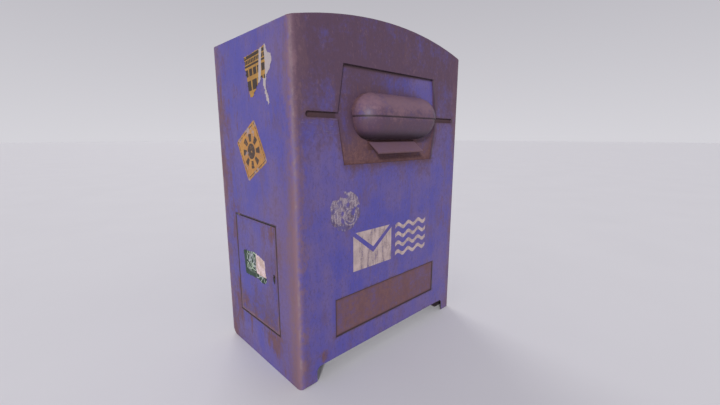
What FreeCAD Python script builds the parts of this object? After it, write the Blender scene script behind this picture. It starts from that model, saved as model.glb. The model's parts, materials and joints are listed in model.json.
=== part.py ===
import FreeCAD, Part
import math
import os

# Free-standing street post box of welded sheet steel.
# Frame: +Z up, the front faces -Y, +X to the right of someone who faces the front.
# Origin: on the ground, at the centre of the four anchor holes. All sizes in millimetres.

os.makedirs("parts", exist_ok=True)
V = FreeCAD.Vector
AXIS_X = V(1, 0, 0)
AXIS_Y = V(0, 1, 0)
AXIS_Z = V(0, 0, 1)

# ---- driving dimensions -------------------------------------------------------------------

# Welded body
body_width = 870.0
body_depth = 510.0
shoulder_height = 1151.5
roof_radius = 1640.0
sheet = 3.0
corner_radius = 22.0
rear_corner_radius = 4.0
roof_edge_radius = 6.0
notch_height = 58.0
foot_width = 66.0
notch_corner_radius = 18.0
foot_corner_radius = 12.0
front_foot_radius = 9.0
rear_foot_radius = 35.0

# Six-sided posting panel with a groove on each side
hex_top = 1051.0
hex_bottom = 733.0
hex_top_half = 241.0
hex_bottom_half = 242.0
hex_middle_half = 267.0
groove_height = 19.0
groove_end = 389.0
recess_depth = 9.0
rim_width = 14.0

# Rounded hood and the shutter that rolls up inside it
pivot_height = 891.5
hood_radius = 80.0
hood_straight_half = 124.0
hood_wall = 2.5
shutter_gap = 1.0
shutter_wall = 2.5
shutter_overlap_angle = 8.0
shutter_back_angle = 96.0
shutter_window_radius = 15.0
shutter_window_place = 32.0
rod_radius = 4.0
running_gap = 0.05
arm_place = 150.0
arm_thickness = 3.0
bracket_place = 140.0
bracket_half = 10.0
bracket_thickness = 3.0
hub_radius = 8.0
bush_radius = 6.0
bush_length = 8.0
clip_radius = 7.5
clip_thickness = 1.2
clip_place = 159.5
clip_groove_depth = 0.8
buffer_radius = 6.0
buffer_drop = 41.5

# Posting slot and the sloping ledge below the hood
slot_half = 118.0
slot_bottom = 818.0
slot_top = 862.0
slot_corner_radius = 4.0
ledge_half = 125.0
ledge_top = 813.0
ledge_bottom = 772.0
ledge_reach = 45.0
ledge_wall = 2.5
ledge_lip = 4.0
ledge_flange = 30.0

# Letter chute and its toothed baffle inside the slot
inner_sheet = 2.0
chute_run = 100.0
chute_fall = 0.78
chute_flange = 24.0
cheek_place = 122.0
cheek_rise = 14.0
baffle_reach = 70.0
baffle_bottom = 800.0
tooth_pitch = 20.0
tooth_depth = 10.0

# Sloping letter floor and its trestles
slope_high = 400.0
slope_low = 160.0
slope_edge_gap = 12.0
slope_corner_gap = 0.3
slope_upstand = 20.0
trestle_places = (-250.0, 0.0, 250.0)
trestle_half_depth = 190.0
trestle_border = 30.0
trestle_foot = 22.0

# Notice panel low on the front
notice_half = 285.0
notice_bottom = 133.0
notice_top = 274.0
notice_lap = 14.0
notice_stud_inset = 20.0

# Collection door in the left side
door_front = -133.0
door_back = 151.0
door_bottom = 151.0
door_top = 535.0
door_gap = 4.0
lip_inset = 2.0
lip_wall = 2.0
lip_depth = 14.0
frame_depth = 26.0
frame_wall = 3.0
stop_width = 14.0
seal_width = 9.0
seal_gap = 0.3
rib_inset = 85.0
pivot_inset_x = 8.0
pivot_inset_y = 9.5
pin_radius = 3.5
pin_collar_radius = 4.7
pin_reach = 18.0
collar_gap = 0.3
pivot_block_height = 15.0

# Lock
key_y = -113.0
key_z = 359.0
keyhole_radius = 7.0
keyhole_foot_radius = 4.8
keyhole_drop = 21.0
bolt_throw = 10.0
bolt_height = 26.0
bolt_thickness = 6.0
bolt_clearance = 1.0
strike_thickness = 3.0
strike_border = 12.0
case_length = 42.0
case_half_height = 35.0
case_wall = 2.0
post_half = 4.0
hub_seat_radius = 6.5
hub_flange_radius = 8.5
hub_flange_gap = 0.3
cam_angle = 45.0
cam_pin_radius = 2.0
cam_play = 0.5

# Back cover, base and inner sheets
back_flange = 45.0
back_cover_lap = 20.0
rail_leg = 56.0
rail_thickness = 5.0
rail_half_length = 215.0
rail_flange = 3.0
rail_flange_width = 24.0
rib_depth = 28.0
rib_half_length = 360.0
rib_half_thickness = 2.0
anchor_spacing_x = 800.0
anchor_spacing_y = 340.0
anchor_hole_radius = 7.0
drain_radius = 6.0

# Fasteners
back_screw_radius = 3.0
back_screw_rows = 5
floor_screw_radius = 2.5
panel_stud_radius = 2.5
panel_stud_length = 14.0
panel_hole_radius = 2.8
notice_stud_radius = 2.0
notice_stud_length = 10.0
notice_hole_radius = 2.3
lock_screw_radius = 1.6
lock_screw_inset = 10.0

# Cutters run this far past the faces that they open
past = 1.0
far_past = 10.0

# ---- worked-out places --------------------------------------------------------------------

half_width = body_width / 2
front = -body_depth / 2
rear = body_depth / 2
inner_side = half_width - sheet
inner_front = front + sheet
inner_rear = rear - sheet
crown_height = shoulder_height + roof_radius - math.sqrt(roof_radius**2 - half_width**2)
panel_front = front + recess_depth
panel_back = panel_front + sheet
hood_inner = hood_radius - hood_wall
shutter_outer = hood_inner - shutter_gap
shutter_inner = shutter_outer - shutter_wall
door_outer_x = -half_width
door_inner_x = -inner_side
pivot_x = door_outer_x + pivot_inset_x
pivot_y = door_back - pivot_inset_y
floor_level = notch_height + inner_sheet
floor_top = floor_level + sheet
stop_x = door_inner_x + frame_depth
slope_low_x = stop_x + 4.0
slope_high_x = inner_side - 0.5
bolt_front_x = door_inner_x + 4.0
lip_end_x = door_inner_x + lip_depth
case_front = door_front + lip_inset + lip_wall + 1.0
case_end_x = lip_end_x - 1.0
hub_top_x = bolt_front_x - 0.4
cam_radius = bolt_throw / 2 / math.sin(math.radians(cam_angle))
cam_offset = bolt_throw / 2


# ---- helpers ------------------------------------------------------------------------------

def save(name, shapes):
    """Write one sub-part; a list of solids becomes one compound."""
    shape = Part.makeCompound(shapes) if isinstance(shapes, list) else shapes
    for solid in shape.Solids:
        if not solid.isValid():
            raise ValueError(name + " has an invalid solid")
    shape.exportStep("parts/" + name + ".step")
    print(name, len(shape.Solids), "solids,", round(shape.Volume / 1000, 1), "cm3")


def block(x0, x1, y0, y1, z0, z1):
    return Part.makeBox(x1 - x0, y1 - y0, z1 - z0, V(x0, y0, z0))


def rod(radius, start, direction, length):
    return Part.makeCylinder(radius, length, start, direction)


def on_xz(y):
    """Place a flat outline point (across, up) in the plane of this y."""
    return lambda a, b: V(a, y, b)


def on_yz(x):
    return lambda a, b: V(x, a, b)


def on_xy(z):
    return lambda a, b: V(a, b, z)


def rounded_wire(corners, place):
    """Closed outline from (across, up, radius) corners, each rounded by a tangent arc."""
    flat = on_xy(0)
    starts = []
    ends = []
    middles = []
    for index, (a, b, radius) in enumerate(corners):
        before = corners[index - 1]
        after = corners[(index + 1) % len(corners)]
        corner = flat(a, b)
        to_before = (flat(before[0], before[1]) - corner).normalize()
        to_after = (flat(after[0], after[1]) - corner).normalize()
        half_turn = to_before.getAngle(to_after) / 2
        cut_back = radius / math.tan(half_turn) if radius else 0.0
        starts.append(corner + to_before * cut_back)
        ends.append(corner + to_after * cut_back)
        inward = (to_before + to_after).normalize()
        depth = radius / math.sin(half_turn) - radius if radius else 0.0
        middles.append(corner + inward * depth)
    edges = []
    for index, (a, b, radius) in enumerate(corners):
        following = (index + 1) % len(corners)
        arc = [place(point.x, point.y) for point in (starts[index], middles[index], ends[index])]
        if radius:
            edges.append(Part.Arc(arc[0], arc[1], arc[2]).toShape())
        next_start = place(starts[following].x, starts[following].y)
        if arc[2].distanceToPoint(next_start) > 0.001:
            edges.append(Part.makeLine(arc[2], next_start))
    return Part.Wire(edges)


def slab(corners, place, thickness):
    """Flat plate with rounded corners, pushed along its thickness vector."""
    return Part.Face(rounded_wire(corners, place)).extrude(thickness)


def rectangle(a0, a1, b0, b1, radius=0.0):
    return [(a0, b0, radius), (a1, b0, radius), (a1, b1, radius), (a0, b1, radius)]


def mirrored_x(shape):
    return shape.mirror(V(0, 0, 0), AXIS_X)


def hexagon_nut(across_flats, height, centre, direction):
    """Nut blank, later cut or fused with its stud."""
    across_corners = across_flats / math.sqrt(3)
    points = []
    for step in range(7):
        turn = math.radians(60 * step)
        points.append(V(across_corners * math.cos(turn), across_corners * math.sin(turn), 0))
    nut = Part.Face(Part.makePolygon(points)).extrude(V(0, 0, height))
    nut.Placement = FreeCAD.Placement(centre, FreeCAD.Rotation(AXIS_Z, direction))
    return nut


def stud_with_nut(radius, length, washer_at, start):
    """Weld stud along +Y with a washer and a nut that start washer_at from its root."""
    washer_thickness = 1.2
    nut_height = radius * 1.6
    washer = rod(radius * 2.1, start + V(0, washer_at, 0), AXIS_Y, washer_thickness)
    nut_start = start + V(0, washer_at + washer_thickness, 0)
    nut = hexagon_nut(radius * 3.3, nut_height, nut_start, AXIS_Y)
    return rod(radius, start, AXIS_Y, length).fuse([washer, nut]).removeSplitter()


# ---- welded body --------------------------------------------------------------------------

def body_block(inset, foot_level):
    """Solid of the body's outside, or of its inside when inset by the sheet."""
    side = half_width - inset
    radius = roof_radius - inset
    centre_z = crown_height - roof_radius
    shoulder = centre_z + math.sqrt(radius**2 - side**2)
    base = [V(-side, front, foot_level), V(side, front, foot_level)]
    shoulders = [V(side, front, shoulder), V(-side, front, shoulder)]
    roof = Part.Arc(shoulders[0], V(0, front, centre_z + radius), shoulders[1]).toShape()
    outline = Part.Wire([
        Part.makeLine(base[0], base[1]),
        Part.makeLine(base[1], shoulders[0]),
        roof,
        Part.makeLine(shoulders[1], base[0]),
    ])
    face = Part.Face(outline)
    face.translate(V(0, inset, 0))
    solid = face.extrude(V(0, rear - front - 2 * inset, 0))
    rear_y = rear - inset
    front_uprights = [edge for edge in solid.Edges
                      if edge.BoundBox.ZLength > foot_width and edge.BoundBox.YMax < 0]
    front_uprights = [edge for edge in front_uprights if edge.BoundBox.XLength < 1]
    solid = solid.makeFillet(corner_radius - inset, front_uprights)
    below_roof = shoulder - sheet
    roof_edges = [edge for edge in solid.Edges
                  if edge.BoundBox.ZMin > below_roof and edge.BoundBox.YMin < rear_y - 1]
    solid = solid.makeFillet(roof_edge_radius - inset, roof_edges)
    rear_edges = [edge for edge in solid.Edges
                  if edge.BoundBox.YMin > rear_y - 0.1 and edge.BoundBox.ZMax > foot_level + 1]
    return solid.makeFillet(rear_corner_radius - inset, rear_edges)


def posting_outline(grow):
    """Six-sided panel outline with its side grooves, grown outwards by a distance."""
    groove_top = pivot_height + groove_height / 2
    groove_bottom = pivot_height - groove_height / 2
    groove_round = groove_height / 2
    right = [
        (hex_bottom_half, hex_bottom, 0.0),
        (hex_middle_half, groove_bottom, 0.0),
        (groove_end, groove_bottom, groove_round),
        (groove_end, groove_top, groove_round),
        (hex_middle_half, groove_top, 0.0),
        (hex_top_half, hex_top, 0.0),
    ]
    left = [(-a, b, radius) for a, b, radius in reversed(right)]
    wire = rounded_wire(right + left, on_xz(0))
    if grow:
        wire = wire.makeOffset2D(grow)
    return Part.Face(wire)


def posting_slab(grow, y0, y1):
    face = posting_outline(grow)
    face.translate(V(0, y0, 0))
    return face.extrude(V(0, y1 - y0, 0))


def make_body_shell():
    outside = body_block(0.0, 0.0)
    inside = body_block(sheet, -1.0)
    side_profile = [
        (front, 0.0, front_foot_radius),
        (rear, 0.0, rear_foot_radius),
        (rear, crown_height + 1, 0.0),
        (front, crown_height + 1, 0.0),
    ]
    outside = outside.common(slab(side_profile, on_yz(-half_width), V(body_width, 0, 0)))
    shell = outside.cut(inside)
    notch_half = half_width - foot_width
    notch = [
        (-notch_half - far_past, -far_past, 0.0),
        (-notch_half, 0.0, foot_corner_radius),
        (-notch_half, notch_height, notch_corner_radius),
        (notch_half, notch_height, notch_corner_radius),
        (notch_half, 0.0, foot_corner_radius),
        (notch_half + far_past, -far_past, 0.0),
    ]
    notch_cut = slab(notch, on_xz(front - far_past), V(0, body_depth + 2 * far_past, 0))
    posting_cut = posting_slab(0.0, front - far_past, inner_front + far_past)
    notice = block(-notice_half, notice_half, front - far_past, inner_front + far_past,
                   notice_bottom, notice_top)
    door_hole = block(door_outer_x - far_past, door_inner_x + far_past,
                      door_front - door_gap, door_back + door_gap,
                      door_bottom - door_gap, door_top + door_gap)
    window_half = half_width - back_flange
    window = rectangle(-window_half, window_half, notch_height + back_flange,
                       shoulder_height - back_flange, corner_radius)
    back_window = slab(window, on_xz(inner_rear - far_past), V(0, sheet + 2 * far_past, 0))
    shell = shell.cut([notch_cut, posting_cut, notice, door_hole, back_window])
    return shell.cut([rod(back_screw_radius, V(x, inner_rear - past, z), AXIS_Y, sheet + 2 * past)
                      for x, z in back_screw_places()])


def back_screw_places():
    """Screws stand half way across the lap of the back cover on its flange."""
    half = half_width - back_flange + back_cover_lap / 2
    low = notch_height + back_flange - back_cover_lap / 2
    high = shoulder_height - back_flange + back_cover_lap / 2
    places = []
    for step in range(back_screw_rows):
        z = low + (high - low) * step / (back_screw_rows - 1)
        places += [(-half, z), (half, z)]
    for x in (-half / 3, half / 3):
        places += [(x, low), (x, high)]
    return places


def make_back_cover():
    half = half_width - back_flange + back_cover_lap
    low = notch_height + back_flange - back_cover_lap
    high = shoulder_height - back_flange + back_cover_lap
    cover = slab(rectangle(-half, half, low, high, corner_radius), on_xz(rear), V(0, sheet, 0))
    return cover.cut([rod(back_screw_radius, V(x, rear - past, z), AXIS_Y, sheet + 2 * past)
                      for x, z in back_screw_places()])


def make_back_screws():
    """Button-head security screws with a nut behind the flange."""
    head_radius = 6.5
    head_height = 3.2
    nut_height = 5.0
    nut_flats = 10.0
    tail = 7.0
    socket_flats = 4.0
    socket_depth = 1.8
    face = rear + sheet + head_height
    screws = []
    for x, z in back_screw_places():
        shank = rod(back_screw_radius, V(x, inner_rear - tail, z), AXIS_Y, 2 * sheet + tail)
        head = rod(head_radius, V(x, rear + sheet, z), AXIS_Y, head_height)
        rim = [edge for edge in head.Edges if edge.BoundBox.YMin > face - 0.1]
        head = head.makeFillet(head_height * 0.7, rim)
        socket = hexagon_nut(socket_flats, socket_depth + past, V(x, face - socket_depth, z), AXIS_Y)
        nut = hexagon_nut(nut_flats, nut_height, V(x, inner_rear - nut_height, z), AXIS_Y)
        screws.append(shank.fuse([head, nut]).cut(socket).removeSplitter())
    return screws


def make_floor_plate():
    fit = 0.3
    corner = corner_radius - sheet - fit
    plan = rectangle(-inner_side + fit, inner_side - fit, inner_front + fit, inner_rear - fit, corner)
    plate = slab(plan, on_xy(floor_level), V(0, 0, sheet))
    drains = [rod(drain_radius, V(x, y, floor_level - past), AXIS_Z, sheet + 2 * past)
              for x in (-300, 300) for y in (-180, 180)]
    screws = [rod(floor_screw_radius, V(x, y, floor_level - past), AXIS_Z, sheet + 2 * past)
              for x, y in floor_screw_places()]
    return plate.cut(drains + screws)


def floor_screw_places():
    x = inner_side - (rail_thickness + rail_flange_width) / 2 - 1.5
    rows = (-180.0, 0.0, 180.0)
    return [(side * x, y) for side in (-1, 1) for y in rows]


def make_floor_screws():
    """Pan-head screws that hold the floor down on the top flange of the foot rails."""
    head_radius = 5.0
    head_height = 2.6
    shank_length = 2 * sheet + rail_flange
    screws = []
    for x, y in floor_screw_places():
        shank = rod(floor_screw_radius, V(x, y, floor_top - shank_length), AXIS_Z, shank_length)
        head = rod(head_radius, V(x, y, floor_top), AXIS_Z, head_height)
        rim = [edge for edge in head.Edges if edge.BoundBox.ZMin > floor_top + head_height - 0.1]
        screws.append(shank.fuse(head.makeFillet(head_height * 0.6, rim)).removeSplitter())
    return screws


def make_foot_rail():
    """Folded channel inside the right side wall: ground leg, web and floor flange."""
    inner = inner_side - rail_leg
    ground = block(inner, inner_side, -rail_half_length, rail_half_length, 0, rail_thickness)
    web = block(inner_side - rail_thickness, inner_side, -rail_half_length, rail_half_length,
                0, floor_level)
    flange = block(inner_side - rail_flange_width, inner_side, -rail_half_length, rail_half_length,
                   floor_level - rail_flange, floor_level)
    rail = ground.fuse([web, flange]).removeSplitter()
    anchors = [rod(anchor_hole_radius, V(anchor_spacing_x / 2, y, -past), AXIS_Z,
                   rail_thickness + 2 * past)
               for y in (-anchor_spacing_y / 2, anchor_spacing_y / 2)]
    threads = [rod(floor_screw_radius, V(x, y, floor_level - rail_flange - past), AXIS_Z,
                   rail_flange + 2 * past)
               for x, y in floor_screw_places() if x > 0]
    return rail.cut(anchors + threads)


def make_roof_rib():
    """Curved stiffener welded under the roof, edge on."""
    weld_gap = 0.2
    top = roof_radius - sheet - weld_gap
    thickness = 2 * rib_half_thickness
    centre = V(0, -rib_half_thickness, crown_height - roof_radius)
    disc = rod(top, centre, AXIS_Y, thickness)
    disc = disc.cut(rod(top - rib_depth, centre - V(0, past, 0), AXIS_Y, thickness + 2 * past))
    lowest = shoulder_height - 2 * rib_depth
    return disc.common(block(-rib_half_length, rib_half_length, -thickness, thickness,
                             lowest, crown_height))


# ---- posting panel, hood and ledge --------------------------------------------------------

def panel_stud_places():
    """Studs stand on the middle of the rim around the six-sided opening."""
    middle = rim_width / 2
    upper_middle = (hex_top + pivot_height) / 2
    lower_middle = (hex_bottom + pivot_height) / 2
    side = (hex_top_half + hex_middle_half) / 2 + middle
    right = [
        (hex_top_half * 0.65, hex_top + middle),
        (side, upper_middle),
        (groove_end + middle, pivot_height),
        (side, lower_middle),
        (hex_bottom_half * 0.65, hex_bottom - middle),
    ]
    return [(sign * a, b) for sign in (-1, 1) for a, b in right]


def make_panel_rim():
    return posting_slab(rim_width, inner_front, panel_front).cut(
        posting_slab(0.0, inner_front - past, panel_front + past))


def make_posting_panel():
    panel = posting_slab(rim_width, panel_front, panel_back)
    slot = rectangle(-slot_half, slot_half, slot_bottom, slot_top, slot_corner_radius)
    slot_cut = slab(slot, on_xz(panel_front - past), V(0, sheet + 2 * past, 0))
    holes = [rod(panel_hole_radius, V(x, panel_front - past, z), AXIS_Y, sheet + 2 * past)
             for x, z in panel_stud_places()]
    return panel.cut([slot_cut] + holes)


def make_panel_studs():
    return [stud_with_nut(panel_stud_radius, panel_stud_length, sheet, V(x, panel_front, z))
            for x, z in panel_stud_places()]


def capsule_shell(outer, inner, start_angle, sweep):
    """Part of a hollow capsule about the pivot line, from start_angle above the front."""
    straight = hood_straight_half
    diagonal = math.sqrt(0.5)

    def at(x, radius):
        return V(x, front - radius, pivot_height)

    def end_arc(sign, radius):
        return Part.Arc(at(sign * (straight + radius), 0),
                        at(sign * (straight + radius * diagonal), radius * diagonal),
                        at(sign * straight, radius)).toShape()

    edges = [
        end_arc(-1, outer),
        Part.makeLine(at(-straight, outer), at(straight, outer)),
        end_arc(1, outer),
        Part.makeLine(at(straight + outer, 0), at(straight + inner, 0)),
        end_arc(1, inner),
        Part.makeLine(at(straight, inner), at(-straight, inner)),
        end_arc(-1, inner),
        Part.makeLine(at(-straight - inner, 0), at(-straight - outer, 0)),
    ]
    profile = Part.Face(Part.Wire(Part.__sortEdges__(edges)))
    centre = V(0, front, pivot_height)
    profile.rotate(centre, AXIS_X, -start_angle)
    return profile.revolve(centre, V(-1, 0, 0), sweep)


def make_hood():
    """Fixed upper half of the capsule, trimmed flat against the posting panel."""
    past_top = 20.0
    shell = capsule_shell(hood_radius, hood_inner, 0.0, 90.0 + past_top)
    reach = hood_straight_half + hood_radius
    behind = block(-reach, reach, panel_front, panel_front + hood_radius,
                   pivot_height - hood_radius, pivot_height + hood_radius)
    return shell.cut(behind)


def make_shutter():
    """Rolling lower half of the capsule, a little smaller than the hood."""
    start = -shutter_back_angle
    return capsule_shell(shutter_outer, shutter_inner, start,
                         shutter_back_angle + shutter_overlap_angle)


def make_shutter_arms():
    """Sector plates that carry the shutter on the pivot rod."""
    arms = []
    for x in (-arm_place - arm_thickness, arm_place):
        disc = rod(hood_radius, V(x, front, pivot_height), AXIS_X, arm_thickness)
        quarter = block(x - past, x + arm_thickness + past, front - hood_radius, front,
                        pivot_height - hood_radius, pivot_height)
        window = rod(shutter_window_radius, V(x - past, front - shutter_window_place,
                                              pivot_height - shutter_window_place),
                     AXIS_X, arm_thickness + 2 * past)
        hub = rod(hub_radius, V(x, front, pivot_height), AXIS_X, arm_thickness)
        bore = rod(bush_radius, V(x - past, front, pivot_height), AXIS_X, arm_thickness + 2 * past)
        inside = rod(shutter_inner, V(-hood_straight_half, front, pivot_height), AXIS_X,
                     2 * hood_straight_half)
        for end in (-hood_straight_half, hood_straight_half):
            inside = inside.fuse(Part.makeSphere(shutter_inner, V(end, front, pivot_height)))
        sector = disc.common(quarter).common(inside).cut(window)
        arms.append(sector.fuse(hub).cut(bore).removeSplitter())
    return arms


def make_shutter_bushes():
    bushes = []
    for sign in (-1, 1):
        middle = sign * (arm_place + arm_thickness / 2)
        start = V(middle - bush_length / 2, front, pivot_height)
        bush = rod(bush_radius, start, AXIS_X, bush_length)
        bore = rod(rod_radius + running_gap, start - V(past, 0, 0), AXIS_X, bush_length + 2 * past)
        bushes.append(bush.cut(bore))
    return bushes


def make_pivot_rod():
    half_length = clip_place + 3.5
    pivot_rod = rod(rod_radius, V(-half_length, front, pivot_height), AXIS_X, 2 * half_length)
    for sign in (-1, 1):
        x = sign * clip_place - clip_thickness / 2
        ring = rod(rod_radius + past, V(x, front, pivot_height), AXIS_X, clip_thickness)
        core = rod(rod_radius - clip_groove_depth, V(x - past, front, pivot_height), AXIS_X,
                   clip_thickness + 2 * past)
        ring = ring.cut(core)
        pivot_rod = pivot_rod.cut(ring)
    return pivot_rod


def make_rod_clips():
    """Open spring clips in the rod's end grooves."""
    mouth_half = 2.4
    clips = []
    for sign in (-1, 1):
        x = sign * clip_place - clip_thickness / 2
        clip = rod(clip_radius, V(x, front, pivot_height), AXIS_X, clip_thickness)
        core = rod(rod_radius - clip_groove_depth, V(x - past, front, pivot_height), AXIS_X,
                   clip_thickness + 2 * past)
        clip = clip.cut(core)
        mouth = block(x - past, x + clip_thickness + past, front - mouth_half, front + mouth_half,
                      pivot_height - clip_radius - past, pivot_height)
        clips.append(clip.cut(mouth))
    return clips


def make_pivot_brackets():
    """Upright lugs welded on the posting panel, bored for the pivot rod."""
    lugs = []
    low = pivot_height - bracket_half
    high = pivot_height + bracket_half
    for x in (-bracket_place - bracket_thickness, bracket_place):
        end_x = x + bracket_thickness
        plate = block(x, end_x, front, panel_front, low, high)
        nose = rod(bracket_half, V(x, front, pivot_height), AXIS_X, bracket_thickness)
        nose = nose.cut(block(x - past, end_x + past, panel_front, panel_back, low, high))
        hole = rod(rod_radius, V(x - past, front, pivot_height), AXIS_X,
                   bracket_thickness + 2 * past)
        lugs.append(plate.fuse(nose).cut(hole).removeSplitter())
    return lugs


def make_stop_buffers():
    """Rubber buffers on the panel that the shutter's arms come to rest on."""
    rest_gap = 0.3
    rim_radius = 1.2
    buffers = []
    for sign in (-1, 1):
        x = sign * (arm_place + arm_thickness / 2)
        start = V(x, panel_front, pivot_height - buffer_drop)
        buffer = rod(buffer_radius, start, V(0, -1, 0), recess_depth - rest_gap)
        rim = [edge for edge in buffer.Edges if edge.BoundBox.YMax < front + 1]
        buffers.append(buffer.makeFillet(rim_radius, rim))
    return buffers


def make_letter_ledge():
    """Folded ledge: a flange on the panel, a slope out and down, and a turned-in edge."""
    wall = ledge_wall
    slope_run = ledge_reach + recess_depth
    drop = ledge_top - ledge_bottom
    length = math.hypot(slope_run, drop)
    across = wall * length / slope_run
    out_y = front - ledge_reach
    profile = [
        V(0, panel_front, ledge_top),
        V(0, out_y, ledge_bottom),
        V(0, out_y, ledge_bottom - ledge_lip),
        V(0, out_y + wall, ledge_bottom - ledge_lip),
        V(0, out_y + wall, ledge_bottom - across),
        V(0, panel_front - wall, ledge_top - across - wall * drop / slope_run),
        V(0, panel_front - wall, ledge_top - across - ledge_flange),
        V(0, panel_front, ledge_top - across - ledge_flange),
    ]
    profile = [point + V(-ledge_half, 0, 0) for point in profile]
    face = Part.Face(Part.makePolygon(profile + [profile[0]]))
    return face.extrude(V(2 * ledge_half, 0, 0))


# ---- inside the posting panel -------------------------------------------------------------

def make_letter_chute():
    """Tray inside the slot: sloping floor, two cheeks and flanges on the panel."""
    start_y = panel_back
    end_y = panel_back + chute_run
    top = slot_bottom
    drop = chute_fall * chute_run
    thickness = inner_sheet * math.hypot(1, chute_fall)
    floor = [
        V(-cheek_place, start_y, top),
        V(-cheek_place, end_y, top - drop),
        V(-cheek_place, end_y, top - drop - thickness),
        V(-cheek_place, start_y, top - thickness),
    ]
    floor_plate = Part.Face(Part.makePolygon(floor + [floor[0]])).extrude(V(2 * cheek_place, 0, 0))
    cheek = [
        V(cheek_place, start_y, top - thickness),
        V(cheek_place, end_y, top - drop - thickness),
        V(cheek_place, end_y, top - drop + 2 * cheek_rise),
        V(cheek_place, start_y + baffle_reach + 4.0, slot_top + cheek_rise),
        V(cheek_place, start_y, slot_top + cheek_rise),
    ]
    right = Part.Face(Part.makePolygon(cheek + [cheek[0]])).extrude(V(inner_sheet, 0, 0))
    flange = block(cheek_place, cheek_place + chute_flange, start_y, start_y + inner_sheet,
                   top - chute_flange, slot_top + cheek_rise)
    pieces = [right, mirrored_x(right), flange, mirrored_x(flange)]
    return floor_plate.fuse(pieces).removeSplitter()


def make_baffle():
    """Folded anti-theft baffle: lid over the chute and a toothed drop edge."""
    lid_z = slot_top + cheek_rise
    drop_y = panel_back + baffle_reach
    half = cheek_place - 0.3
    lid = block(-half, half, panel_back, drop_y, lid_z - inner_sheet, lid_z)
    drop_edge = block(-half, half, drop_y - inner_sheet, drop_y, baffle_bottom, lid_z)
    cut_y = drop_y - inner_sheet - past
    gaps = []
    for step in range(int(2 * half / tooth_pitch)):
        x = -half + tooth_pitch * (step + 0.5)
        points = [V(x - tooth_pitch / 4, cut_y, baffle_bottom - past),
                  V(x + tooth_pitch / 4, cut_y, baffle_bottom - past),
                  V(x, cut_y, baffle_bottom + tooth_depth)]
        gap = Part.Face(Part.makePolygon(points + [points[0]]))
        gaps.append(gap.extrude(V(0, inner_sheet + 2 * past, 0)))
    return lid.fuse(drop_edge).cut(gaps).removeSplitter()


def slope_height(x):
    """Upper face of the sloping letter floor at this x."""
    return slope_low + (slope_high - slope_low) * (x - slope_low_x) / (slope_high_x - slope_low_x)


def make_sloping_floor():
    """Inner floor that lets letters slide to the collection door, with three upstands."""
    y0 = inner_front + slope_edge_gap
    y1 = inner_rear - slope_edge_gap

    def strip(start_x, top, bottom, from_y, to_y):
        corners = [
            V(start_x, from_y, slope_height(start_x) + top),
            V(slope_high_x, from_y, slope_height(slope_high_x) + top),
            V(slope_high_x, from_y, slope_height(slope_high_x) - bottom),
            V(start_x, from_y, slope_height(start_x) - bottom),
        ]
        return Part.Face(Part.makePolygon(corners + [corners[0]])).extrude(V(0, to_y - from_y, 0))

    tray = strip(slope_low_x, 0, inner_sheet, y0, y1)
    upstands = [
        strip(slope_low_x, slope_upstand, 0, y0, y0 + inner_sheet),
        strip(slope_low_x, slope_upstand, 0, y1 - inner_sheet, y1),
        strip(slope_high_x - inner_sheet, slope_upstand, 0, y0, y1),
    ]
    rounded_inside = body_block(sheet + slope_corner_gap, 0.0)
    return tray.fuse(upstands).removeSplitter().common(rounded_inside)


def make_slope_trestles():
    """Windowed plates that carry the sloping floor on the base."""
    trestles = []
    low = floor_top + trestle_border
    side = trestle_half_depth - trestle_border
    for x in trestle_places:
        top = slope_height(x) - inner_sheet
        plate = block(x, x + sheet, -trestle_half_depth, trestle_half_depth, floor_top, top)
        window = rectangle(-side, side, low, top - trestle_border, notch_corner_radius)
        plate = plate.cut(slab(window, on_yz(x - past), V(sheet + 2 * past, 0, 0)))
        foot = block(x, x + trestle_foot, -trestle_half_depth, trestle_half_depth,
                     floor_top, floor_top + sheet)
        trestles.append(plate.fuse(foot).removeSplitter())
    return trestles


# ---- notice panel -------------------------------------------------------------------------

def notice_stud_places():
    lap = notice_lap / 2
    columns = (-notice_half - lap, notice_half + lap)
    rows = (notice_bottom + notice_stud_inset, notice_top - notice_stud_inset)
    places = [(x, z) for x in columns for z in rows]
    places += [(x, z) for x in (-notice_half / 2, notice_half / 2)
               for z in (notice_bottom - lap, notice_top + lap)]
    return places


def make_notice_panel():
    panel = block(-notice_half - notice_lap, notice_half + notice_lap,
                  inner_front, inner_front + inner_sheet,
                  notice_bottom - notice_lap, notice_top + notice_lap)
    return panel.cut([rod(notice_hole_radius, V(x, inner_front - past, z), AXIS_Y, inner_sheet + 2 * past)
                      for x, z in notice_stud_places()])


def make_notice_studs():
    return [stud_with_nut(notice_stud_radius, notice_stud_length, inner_sheet, V(x, inner_front, z))
            for x, z in notice_stud_places()]


# ---- door frame on the body ---------------------------------------------------------------

def ring(x0, x1, outer, inner):
    """Rectangular ring about X from (y0, y1, z0, z1) sides."""
    return block(x0, x1, *outer).cut(block(x0 - past, x1 + past, *inner))


def grown(distance):
    """Sides of the door leaf, grown outwards by a distance."""
    return (door_front - distance, door_back + distance,
            door_bottom - distance, door_top + distance)


def bolt_hole(y0, y1, clearance):
    """Prism of the lock bolt's section, grown by a clearance."""
    return block(bolt_front_x - clearance, bolt_front_x + bolt_thickness + clearance, y0, y1,
                 key_z - bolt_height / 2 - clearance, key_z + bolt_height / 2 + clearance)


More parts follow.
